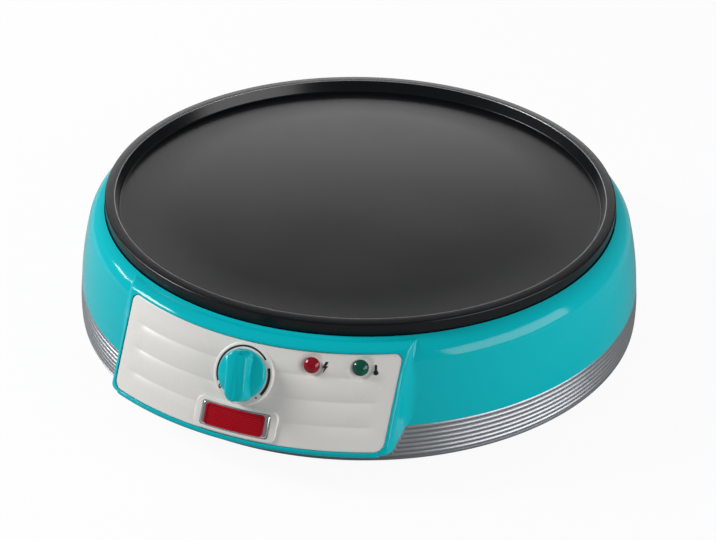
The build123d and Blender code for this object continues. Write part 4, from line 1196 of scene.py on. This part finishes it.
# ---- silver base ----
@dataclass
class BaseTray:
    """Ribbed silver base with its floor, its vents and the chin under the pod."""

    foot_height: float = 5.0 * MM
    height: float = 22.0 * MM
    radius: float = 167.98 * MM
    widest_share: float = 0.27
    draw_in: float = 1.3 * MM
    wall: float = 3.0 * MM
    floor: float = 2.6 * MM
    floor_ring: float = 90.0 * MM
    ribs: int = 7
    rib_depth: float = 0.7 * MM
    plain_edge: float = 2.05 * MM
    edge_round: float = 1.6 * MM
    lip_r: float = 163.3 * MM
    lip_wall: float = 2.0 * MM
    lip_height: float = 4.0 * MM
    lip_root: float = 6.0 * MM
    vents: int = 12
    vent_size: Pair = (30.0 * MM, 4.0 * MM)
    vent_circle: float = 62.0 * MM
    well_r: float = 5.2 * MM
    well_top: float = 14.05 * MM
    head_r: float = 3.4 * MM
    shank_r: float = 1.8 * MM
    seat_z: float = 10.7 * MM
    foot_circle: float = 140.0 * MM
    foot_hole: float = 3.0 * MM
    gland_z: float = 16.0 * MM
    gland_r: float = 5.5 * MM
    gland_deep: float = 15.0 * MM
    pad_r: float = 9.5 * MM
    pad_out: float = 0.6 * MM
    pad_round: float = 0.3 * MM
    chin_low: float = 9.0 * MM
    chin_in: float = 2.2 * MM
    chin_root: float = 166.0 * MM
    chin_gap: float = 0.8 * MM
    chin_round: float = 0.5 * MM
    chin_draft: float = math.radians(22)
    chin_sector: float = math.radians(70)
    prism_reach: float = 60.0 * MM

    @property
    def top_z(self) -> float:
        """Height of the seam to the housing."""
        return self.foot_height + self.height

    @property
    def inner_r(self) -> float:
        """Radius of the wall's inside."""
        return self.crest(self.top_z) - self.rib_depth - self.wall

    def crest(self, z: float) -> float:
        """Radius of the rib crests at a height."""
        widest = self.foot_height + self.height * self.widest_share
        return self.radius - self.draw_in * ((z - widest) / (self.top_z - widest)) ** 2

    def section(self) -> list[Pair]:
        """Outline of the base.

        Returns:
            Its corners, from the underside's middle up the ribs and back along the floor.
        """
        low, edge = self.foot_height, self.edge_round
        pitch = (self.height - self.plain_edge) / self.ribs
        here = (self.crest(low) - self.rib_depth, low + self.plain_edge)
        rim = (self.crest(low), low + edge)
        outline = [(0.0, low), (self.floor_ring, low), (self.crest(low) - edge, low)]
        outline += arc_through(outline[-1], (rim[0] - 0.3 * edge, low + 0.3 * edge), rim, 6)
        outline.append(here)
        for i in range(self.ribs):
            top = low + self.plain_edge + (i + 1) * pitch
            middle, there = top - pitch / 2, (self.crest(top) - self.rib_depth, top)
            outline += arc_through(here, (self.crest(middle), middle), there, 6)
            here = there
        lip_in, lip_top = self.lip_r - self.lip_wall, self.top_z + self.lip_height
        root, floor = self.top_z - self.lip_root, low + self.floor
        return outline + [(self.lip_r, self.top_z), (self.lip_r, lip_top), (lip_in, lip_top),
                          (lip_in, root), (self.inner_r, root), (self.inner_r, floor),
                          (self.floor_ring, floor), (0.0, floor)]

    def chin(self) -> Piece:
        """Smooth underside of the pod, drawn in towards the base's wall.

        Returns:
            The closed object.
        """
        inner, top = self.inner_r + 0.5 * MM, self.top_z - 0.2 * MM
        foot_r, foot_z = POD_FOOT[0] - self.chin_in, POD_FOOT[1]
        outline = [(inner, self.chin_low), (self.radius - 2 * MM, self.chin_low - MM),
                   (foot_r, foot_z - 0.3 * MM), (foot_r, foot_z + 0.8 * MM),
                   (self.chin_root, top), (inner, top)]
        body = turned(outline, 96, self.chin_sector, math.radians(270) - self.chin_sector / 2)
        prism = reshape(block(MM, MM, -MM, MM), self.prism_corner)
        combine(body, "INTERSECT", [prism])
        bevel_sharp(body, self.chin_round, 25)
        return body

    def prism_corner(self, corner: Vector) -> Vector:
        """Corner of the space between the pod's side walls.

        Args:
            corner: The matching corner of a small block about the origin.

        Returns:
            The corner's place.
        """
        house = Housing()
        z = 0.0 if corner.z < 0 else FACE.low_z + 6 * MM
        rise = z - FACE.low_z
        step = -self.prism_reach if corner.y < 0 else 2 * self.prism_reach
        half = (house.half_width - self.chin_gap + rise * math.tan(self.chin_draft)
                + step * math.tan(house.flare))
        y = house.width_y + rise * math.tan(FACE.lean) + step
        return Vector((math.copysign(half, corner.x), y, z))

    def holes(self) -> list[Piece]:
        """Tools for the vents, the wells, the feet and the gland.

        Returns:
            One closed object for each hole.
        """
        low, deep = self.foot_height - MM, self.foot_height + self.floor + 4 * MM
        tools = []
        for i in range(self.vents):
            slot = rounded_block(*self.vent_size, low, deep, self.vent_size[1] / 2 - MM / 100)
            tools.append(place(slot, Matrix.Rotation(TAU * i / self.vents, 4, "Z")
                               @ Matrix.Translation((self.vent_circle, 0, 0))))
        for spot in POST_SPOTS:
            tools += [cylinder(self.head_r, low, self.seat_z, spot, 32),
                      cylinder(self.shank_r, self.seat_z - MM / 2, self.well_top + MM, spot, 24)]
        tools += [cylinder(self.foot_hole, low, deep, spot, 24)
                  for spot in round_circle(self.foot_circle, (45, 135, 225, 315))]
        at_wall = Matrix.Translation((0, self.radius, self.gland_z)) @ SIDEWAYS
        bore = cylinder(self.gland_r, -self.gland_deep, self.gland_deep)
        return tools + [place(bore, at_wall)]

    def build(self) -> Piece:
        """Model and dress the base.

        Returns:
            The finished moulding.
        """
        tray = turned(self.section(), steps=288, closed=False)
        added = [cylinder(self.well_r, self.foot_height + MM / 2, self.well_top, spot, 40)
                 for spot in POST_SPOTS]
        half = self.wall + self.pad_out
        pad = cylinder(self.pad_r, -half, half)
        bevel_sharp(pad, self.pad_round, 60)
        in_wall = Matrix.Translation((0, self.crest(self.gland_z) - self.wall, self.gland_z))
        added.append(place(pad, in_wall @ SIDEWAYS))
        combine(tray, "UNION", added + [self.chin()])
        cut_away(tray, *self.holes())
        return finish_piece(place(tray, PLATE_AXIS), "base_moulding", SILVER,
                            replaces=["base_tray"], smooth=32.0)


# ---- cream fascia with the dial's boss and the badge's surround ----
@dataclass
class Fascia:
    """Moulded fascia with four soft flutes, dished round its lamps."""

    thickness: float = 2.5 * MM
    edge: float = 0.5 * MM
    edge_turns: tuple[float, ...] = (0.0, 0.4, 0.8, 1.2, math.pi / 2)
    flutes: int = 4
    flute_depth: float = 0.7 * MM
    flute_fullness: float = 2.2
    flute_end: float = 73.0 * MM
    flute_fade: float = 9.0 * MM
    dish_r: float = 7.0 * MM
    dish_depth: float = 0.9 * MM
    dish_slope: float = 0.3
    lamp_hole: float = 4.25 * MM
    spindle_hole: float = 3.5 * MM
    hole_half: float = 6.0 * MM
    boss_r: float = 16.7 * MM
    boss_rise: float = 0.9 * MM
    boss_low: float = -1.5 * MM
    surround_size: Pair = (46.2 * MM, 16.6 * MM)
    surround_span: Pair = (-1.2 * MM, 1.2 * MM)
    surround_corner: float = 4.0 * MM
    surround_edge: float = 0.6 * MM
    pocket_size: Pair = (38.7 * MM, 13.1 * MM)
    pocket_corner: float = 1.7 * MM

    @staticmethod
    def ease(share: np.ndarray) -> np.ndarray:
        """Smooth step from 0 to 1."""
        return share * share * (3 - 2 * share)

    def relief(self, across: np.ndarray, up: np.ndarray) -> np.ndarray:
        """Height of the front over the plain face.

        Args:
            across: Distances along the face.
            up: Distances up the slope.

        Returns:
            Heights, at or below zero.
        """
        pitch = FACE.slant / self.flutes
        hollow = (2 * np.abs(up / pitch % 1 - 0.5)) ** self.flute_fullness
        outer = (up < pitch / 2) | (up > FACE.slant - pitch / 2)
        fade = np.clip((self.flute_end - np.abs(across)) / self.flute_fade, 0, 1)
        height = -self.flute_depth * np.where(outer, 0, hollow) * self.ease(fade)
        for arc in LAMP_ARCS:
            middle = FACE.frame(arc, LAMP_UP).translation.x
            away = np.hypot(across - middle, up - LAMP_UP) / self.dish_r
            height -= self.dish_depth * self.ease(np.clip((1 - away) / self.dish_slope, 0, 1))
        return height

    def panel(self) -> Piece:
        """The fluted slab with its holes.

        Returns:
            The closed object.
        """
        rounding = [(self.edge * (math.sin(a) - 1), self.edge * (math.cos(a) - 1))
                    for a in self.edge_turns]
        slab = Panel(220, 100).slab("fascia", [(-self.thickness, 0.0)] + rounding, self.relief)
        holes = [(self.lamp_hole, FACE.frame(arc, LAMP_UP)) for arc in LAMP_ARCS]
        for radius, where in holes + [(self.spindle_hole, DIAL_FRAME)]:
            cut_away(slab, place(cylinder(radius, -self.hole_half, self.hole_half), where))
        return slab

    def boss(self) -> Piece:
        """Round boss under the knob, with a rounded shoulder.

        Returns:
            The closed object.
        """
        r, rise = self.boss_r, self.boss_rise
        shoulder = [(r - 1.0 * MM, rise), (r - 0.6 * MM, rise - 0.1 * MM),
                    (r - 0.35 * MM, rise - 0.4 * MM), (r - 0.1 * MM, 0.2 * MM),
                    (r, -0.1 * MM), (r, self.boss_low)]
        bore = [(self.spindle_hole, self.boss_low), (self.spindle_hole, rise)]
        return place(turned(bore + shoulder), DIAL_FRAME)

    def surround(self) -> Piece:
        """Raised frame round the badge, curved with the face.

        Returns:
            The closed object.
        """
        plain = rounded_block(*self.surround_size, *self.surround_span, self.surround_corner,
                              self.surround_edge)
        cut_away(plain, rounded_block(*self.pocket_size, 0.0, 9 * MM, self.pocket_corner))
        return FACE.wrap(slice_across(plain, self.surround_size[0] / 2, 16), BADGE_UP)

    def build(self) -> Piece:
        """Model and dress the fascia."""
        piece = joined([self.panel(), self.boss(), self.surround()])
        return finish_piece(piece, "fascia_moulding", CREAM,
                            replaces=["control_fascia"], smooth=50.0)


# ---- print on the fascia ----
@dataclass
class FasciaPrint:
    """Screen-printed dial marks and the two generic symbols beside the lamps."""

    radius: float = 14.5 * MM
    boss_top: float = 0.9 * MM
    ink: float = 0.05 * MM
    line: float = 1.0 * MM
    line_span: Pair = (63.5, 229)
    zero_at: float = 51
    zero_size: float = 3.4 * MM
    band: float = 1.5 * MM
    band_span: Pair = (247, 307)
    dot_at: float = 319
    dot_size: float = 2.6 * MM
    bolder: float = 0.16 * MM
    symbol_up: float = 43.0 * MM
    bolt_arc: float = 41.9 * MM
    bolt_corners: tuple[Pair, ...] = ((0.2, 3.1), (-1.7, -0.5), (-0.3, -0.2), (-1.1, -3.1),
                                      (1.6, 1.0), (0.4, 0.7), (1.7, 3.0))
    thermometer_arc: float = 68.0 * MM
    stem_size: Pair = (1.4 * MM, 4.6 * MM)
    stem_corner: float = 0.65 * MM
    bulb_r: float = 1.3 * MM
    bulb_y: float = -1.9 * MM

    def dial_angle(self, clockwise: float) -> float:
        """Angle about the dial's axis for degrees clockwise from straight down."""
        return math.radians(-90 - clockwise)

    def arc_band(self, span: Pair, width: float) -> Piece:
        """Printed arc between two clockwise angles.

        Args:
            span: The angles at which it starts and ends.
            width: Its width.

        Returns:
            The closed object.
        """
        degrees = span[1] - span[0]
        return ring(self.radius - width / 2, self.radius + width / 2, 0.0, self.ink,
                    max(8, int(degrees) // 3), math.radians(degrees), self.dial_angle(span[1]))

    def numeral(self, text: str, clockwise: float, size: float) -> Piece:
        """Printed character that stands at an angle round the dial.

        Args:
            text: The character.
            clockwise: Its angle.
            size: Its height.

        Returns:
            The closed object.
        """
        deselect_all()
        bpy.ops.object.text_add()
        piece = bpy.context.object
        piece.data.body = text
        piece.data.size = size
        piece.data.align_x = piece.data.align_y = "CENTER"
        piece.data.extrude = self.ink / 2
        piece.data.offset = self.bolder
        bpy.ops.object.convert(target="MESH")
        piece = bpy.context.object
        with editing(piece):
            bpy.ops.mesh.remove_doubles(threshold=MERGE)
            bpy.ops.mesh.normals_make_consistent(inside=False)
        angle = self.dial_angle(clockwise)
        spot = (self.radius * math.cos(angle), self.radius * math.sin(angle), self.ink / 2)
        return place(piece, Matrix.Translation(spot))

    def printed(self, piece: Piece, where: Matrix, name: str, ink: Finish = INK) -> Piece:
        """Lay a printed mark in its place and dress it."""
        return finish_piece(place(piece, where), name, ink, smooth=20)

    def symbol_frame(self, arc: float) -> Matrix:
        """Frame of a symbol whose foot is sunk into the face."""
        return FACE.frame(arc, self.symbol_up) @ Matrix.Translation((0, 0, -self.ink))

    def bolt(self) -> Piece:
        """Lightning bolt beside the power lamp."""
        outline = [(x * MM, y * MM) for x, y in self.bolt_corners]
        return flat_shape(outline, 2 * self.ink)

    def thermometer(self) -> Piece:
        """Thermometer beside the ready lamp."""
        stem = rounded_block(*self.stem_size, 0, 2 * self.ink, self.stem_corner)
        return joined([stem, cylinder(self.bulb_r, 0, 2 * self.ink, (0, self.bulb_y), 24)])

    def build(self) -> list[Piece]:
        """Model and dress the print.

        Returns:
            The two dial marks and the two symbols.
        """
        dial = DIAL_FRAME @ Matrix.Translation((0, 0, self.boss_top))
        thin = joined([self.arc_band(self.line_span, self.line),
                       self.numeral("0", self.zero_at, self.zero_size)])
        thick = joined([self.arc_band(self.band_span, self.band),
                        self.numeral("•", self.dot_at, self.dot_size)])
        return [self.printed(thin, dial, "dial_scale_line"),
                self.printed(thick, dial, "dial_scale_band", DARK_INK),
                self.printed(self.bolt(), self.symbol_frame(self.bolt_arc), "bolt_symbol"),
                self.printed(self.thermometer(), self.symbol_frame(self.thermometer_arc),
                             "thermometer_symbol")]


# ---- knob ----
@dataclass
class Knob:
    """Thermostat knob: a domed disc with a faceted grip bar whose nose points at the scale."""

    radius: float = 13.0 * MM
    back: float = 1.4 * MM
    edge: float = 2.6 * MM
    dome: float = 3.4 * MM
    dome_share: float = 0.97
    wall: float = 2.0 * MM
    grip_low: float = 3.0 * MM
    grip_top: float = 12.0 * MM
    grip_width: float = 13.6 * MM
    grip_narrowing: Pair = (0.80, 0.96)
    grip_corner: float = 5.0 * MM
    grip_edge: float = 1.2 * MM
    nose: float = 1.4 * MM
    ridge: float = 1.4 * MM
    nose_ridge: float = 0.6 * MM
    ridge_x: float = 0.6 * MM
    rest_turn: float = math.radians(6)

    def disc(self) -> Piece:
        """Domed disc, hollow behind.

        Returns:
            The closed object.
        """
        shoulder, back, r = self.back + self.edge, self.back, self.radius
        crown = [(r * self.dome_share * share, shoulder + self.dome * (1 - share ** 2))
                 for share in (i / 12 for i in range(13))]
        crown += [(r * 0.993, shoulder - 0.4 * MM), (r, shoulder - 1.0 * MM),
                  (r, back + 0.3 * MM), (r - 0.3 * MM, back), (r - self.wall, back),
                  (r - self.wall, shoulder), (0.0, shoulder)]
        return turned(crown, closed=False)

    def raised(self, point: Vector) -> Vector:
        """Point of the grip's top, lifted where it lies on the ridge."""
        lift = self.nose_ridge if point.y < 0 else self.ridge
        return point + Vector((0, 0, lift)) if self.on_ridge(point.z, point.x) else point

    def on_ridge(self, z: float, x: float) -> bool:
        """Whether a place lies on the grip's top and along its ridge."""
        return z > self.grip_top - MM / 10 and abs(x - self.ridge_x) < MM / 10

    def grip(self) -> Piece:
        """Grip bar, narrower at its top, with a ridge along its front.

        Returns:
            The closed object.
        """
        top, (share_x, share_y) = self.grip_top - MM / 10, self.grip_narrowing
        bar = block(self.grip_width, 2 * self.radius + self.nose, self.grip_low, self.grip_top,
                    -self.nose / 2)
        reshape(bar, lambda p: Vector((p.x * share_x, p.y * share_y, p.z)) if p.z > top else p)
        bevel_where(bar, lambda a, b: abs(a.z - b.z) > MM, self.grip_corner, 10)
        with editing(bar):
            bpy.ops.mesh.bisect(plane_co=(self.ridge_x, 0, 0), plane_no=(1, 0, 0))
        reshape(bar, self.raised)
        bevel_where(bar, lambda a, b: min(a.z, b.z) > top
                    and not self.on_ridge(min(a.z, b.z), (a.x + b.x) / 2), self.grip_edge, 4)
        return bar

    def build(self) -> Piece:
        """Model and dress the knob."""
        turned_frame = DIAL_FRAME @ Matrix.Rotation(self.rest_turn, 4, "Z")
        return finish_piece(place(joined([self.disc(), self.grip()]), turned_frame),
                            "control_knob", TURQUOISE, KNOB_BODY,
                            ["thermostat_knob"], 30.0)


# ---- badge and lamps ----
@dataclass
class Badge:
    """Red ribbed plate in a chrome frame, both curved with the face. It carries no lettering."""

    width: float = 38.4 * MM
    height: float = 12.8 * MM
    end: float = 2.4 * MM
    side: float = 0.6 * MM
    frame_rise: float = 2.0 * MM
    frame_corner: float = 1.9 * MM
    frame_edge: float = 1.3 * MM
    plate_top: float = 1.9 * MM
    plate_edge: float = 0.3 * MM
    plate_gap: float = 0.1 * MM
    border: float = 0.9 * MM
    corner: float = 2.1 * MM
    sunk: float = 0.7 * MM
    rib_pitch: float = 1.1 * MM
    rib_share: float = 0.55
    rib_rise: float = 0.45 * MM
    rib_root: float = 0.2 * MM
    rib_rounds: Pair = (0.1 * MM, 0.15 * MM)

    def laid(self, piece: Piece, name: str, finish: Finish, slot: str, node: str) -> Piece:
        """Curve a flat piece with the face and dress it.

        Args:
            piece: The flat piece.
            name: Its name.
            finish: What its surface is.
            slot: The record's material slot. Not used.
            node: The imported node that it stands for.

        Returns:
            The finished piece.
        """
        curved = FACE.wrap(slice_across(piece, self.width / 2, 14), BADGE_UP)
        return finish_piece(curved, name, finish, replaces=[node])

    def build(self) -> list[Piece]:
        """Model and dress the frame and the plate.

        Returns:
            The two finished pieces.
        """
        surround = rounded_block(self.width, self.height, 0, self.frame_rise,
                                 self.frame_corner, self.frame_edge)
        inner_x, inner_y = self.width - 2 * self.end, self.height - 2 * self.side
        cut_away(surround, rounded_block(inner_x, inner_y, -MM, 9 * MM, self.corner))
        gap, field_z = self.plate_gap, self.plate_top - self.sunk
        plate = rounded_block(inner_x - gap, inner_y - gap, 0, self.plate_top,
                              self.corner - gap / 2, self.plate_edge)
        field_x, field_y = inner_x - 2 * self.border, inner_y - 2 * self.border
        cut_away(plate, rounded_block(field_x, field_y, field_z, 9 * MM,
                                      self.corner - self.border))
        parts, count = [plate], int(field_y / self.rib_pitch)
        for i in range(count):
            rib = rounded_block(field_x, self.rib_pitch * self.rib_share,
                                field_z - self.rib_root, field_z + self.rib_rise,
                                *self.rib_rounds)
            y = (i - (count - 1) / 2) * self.rib_pitch
            parts.append(place(rib, Matrix.Translation((0, y, 0))))
        return [self.laid(surround, "badge_chrome_frame", CHROME, "chrome", "badge_frame"),
                self.laid(joined(parts), "badge_red_plate", BADGE_RED, "badge_red",
                          "badge_plate")]


@dataclass
class Lamp:
    """Domed indicator lens with its flange behind the fascia."""

    node: str
    arc: float
    finish: Finish
    slot: str
    radius: float = 4.1 * MM
    dome: float = 2.0 * MM
    flange_r: float = 5.2 * MM
    bore_r: float = 3.0 * MM
    depths: tuple[float, float, float] = (-1.0 * MM, -2.5 * MM, -4.0 * MM)

    def build(self) -> Piece:
        """Model and dress the lens.

        Returns:
            The finished piece.
        """
        ball = (self.radius ** 2 + self.dome ** 2) / (2 * self.dome)
        section = [(r, self.dome - ball + math.sqrt(ball * ball - r * r))
                   for r in (self.radius * i / 10 for i in range(11))]
        bore_z, flange_z, back_z = self.depths
        section += [(self.radius, flange_z), (self.flange_r, flange_z), (self.flange_r, back_z),
                    (self.bore_r, back_z), (self.bore_r, bore_z), (0.0, bore_z)]
        piece = place(turned(section, 48, closed=False), FACE.frame(self.arc, LAMP_UP))
        return finish_piece(piece, f"{self.node}_dome", self.finish,
                            replaces=[self.node])


# ---- studio ----
@dataclass
class SoftBox:
    """One studio light."""

    name: str
    spot: tuple[float, float, float]
    size: Pair
    power: float
    target: tuple[float, float, float] = (0.0, 0.0, 50.0 * MM)

    def build(self) -> None:
        """Add the light, aimed at the middle of the plate."""
        light = bpy.data.lights.new(self.name, "AREA")
        light.shape = "RECTANGLE"
        light.size, light.size_y = self.size
        light.energy = self.power
        lamp = bpy.data.objects.new(self.name, light)
        bpy.context.scene.collection.objects.link(lamp)
        lamp.location = self.spot
        aim = Vector(self.target) - Vector(self.spot)
        lamp.rotation_mode = "QUATERNION"
        lamp.rotation_quaternion = aim.to_track_quat("-Z", "Y")


@dataclass
class Studio:
    """Pale floor, soft boxes, sky and camera."""

    boxes: tuple[SoftBox, ...] = (
        SoftBox("key_box", (-1.5, -0.47, 1.02), (0.6, 0.6), 29.0),
        SoftBox("side_box", (1.48, -0.26, 0.5), (1.5, 0.7), 16.0),
        SoftBox("back_box", (-0.75, 1.55, 0.74), (1.7, 0.3), 5.0),
        SoftBox("left_glint", (-1.6, -0.05, 0.62), (0.3, 0.12), 2.0),
    )
    sky: float = 0.20
    floor_size: float = 12.0
    paper: str = "B8B8B8"
    glow: float = 1.06
    glow_share: float = 0.88
    camera_distance: float = 1013.5 * MM
    camera_elevation: float = math.radians(32.40)
    camera_azimuth: float = math.radians(20.6)
    yaw: float = math.radians(-0.046)
    pitch: float = math.radians(0.745)
    roll: float = math.radians(0.918)
    focal_pixels: float = 1648.37
    image_width: int = 716
    sensor: float = 36.0
    near: float = 10 * MM
    aim_z: float = 5.0 * MM

    def backdrop_share(self, tree: Tree, share: float) -> Socket:
        """Share for rays that look straight at the background.

        Args:
            tree: The material's or the world's tree.
            share: What such a ray gets.

        Returns:
            A socket that holds the share for those rays and nothing for the rest.
        """
        path = add_node(tree, "LightPath")
        return add_node(tree, "Math", {"operation": "MULTIPLY", 1: share},
                        {0: path.outputs["Is Camera Ray"]}).outputs[0]

    def make_sky(self) -> None:
        """Soft white surroundings."""
        bpy.context.scene.world = bpy.data.worlds.new("studio_sky")
        tree = empty_tree(bpy.context.scene.world)
        strength = add_node(tree, "MapRange", {"To Min": self.sky, "To Max": 1.0},
                            {"Value": self.backdrop_share(tree, 1.0)})
        sky = add_node(tree, "Background", {"Color": (1, 1, 1, 1)},
                       {"Strength": strength.outputs["Result"]})
        add_node(tree, "OutputWorld", links={"Surface": sky.outputs["Background"]})

    def make_floor(self) -> None:
        """Plain pale floor that keeps the shadow."""
        deselect_all()
        bpy.ops.mesh.primitive_plane_add(size=self.floor_size, location=(0, 0, 0))
        floor = bpy.context.object
        floor.name = "studio_floor"
        made = bpy.data.materials.new("matt_white_paper")
        tree = empty_tree(made)
        paper = add_node(tree, "BsdfDiffuse", {"Color": linear(self.paper)})
        glow = add_node(tree, "Emission", {"Color": (1, 1, 1, 1), "Strength": self.glow})
        mix = add_node(tree, "MixShader", links={
            0: self.backdrop_share(tree, self.glow_share), 1: paper.outputs[0],
            2: glow.outputs[0]})
        add_node(tree, "OutputMaterial", links={"Surface": mix.outputs[0]})
        floor.data.materials.append(made)

    def make_camera(self) -> None:
        """Camera in front of the pod and to its right, looking down on the plate."""
        up, along = math.sin(self.camera_elevation), math.cos(self.camera_elevation)
        spot = Vector((0, -along, up)) * self.camera_distance
        ahead, right = Vector((0, along, -up)), Vector((1, 0, 0))
        rise = right.cross(ahead)
        for angle, axis in ((-self.yaw, rise), (self.pitch, right)):
            turn = Matrix.Rotation(angle, 3, axis)
            ahead, right, rise = turn @ ahead, turn @ right, turn @ rise
        turn = Matrix.Rotation(-self.roll, 3, ahead)
        right, rise = turn @ right, turn @ rise
        swing = (Matrix.Translation((0, AXIS_Y, self.aim_z))
                 @ Matrix.Rotation(self.camera_azimuth, 4, "Z"))
        camera = bpy.data.cameras.new("camera")
        camera.sensor_width = self.sensor
        camera.lens = self.focal_pixels / self.image_width * self.sensor
        camera.clip_start = self.near
        view = bpy.data.objects.new("camera", camera)
        bpy.context.scene.collection.objects.link(view)
        view.matrix_world = (swing @ Matrix.Translation(spot)
                             @ Matrix((right, rise, -ahead)).transposed().to_4x4())
        bpy.context.scene.camera = view

    def build(self) -> None:
        """Set up the studio."""
        self.make_sky()
        self.make_floor()
        self.make_camera()
        for box in self.boxes:
            box.build()
        bpy.context.scene.view_settings.view_transform = "Standard"


def main() -> None:
    """Build every sub-assembly in order and report each piece."""
    logging.basicConfig(level=logging.INFO, format="%(message)s")
    dress_nodes()
    Studio().build()
    makers = [CookingPlate(), Housing(), BaseTray(), Fascia(), FasciaPrint(), Knob(), Badge(),
              Lamp("power_lens", POWER_ARC, RED_LENS, "red_lens"),
              Lamp("ready_lens", READY_ARC, GREEN_LENS, "green_lens")]
    for maker in makers:
        made = maker.build()
        for piece in made if isinstance(made, list) else [made]:
            log.info("%s: %d faces", piece.name, len(piece.data.polygons))


if __name__ == "__main__":
    main()
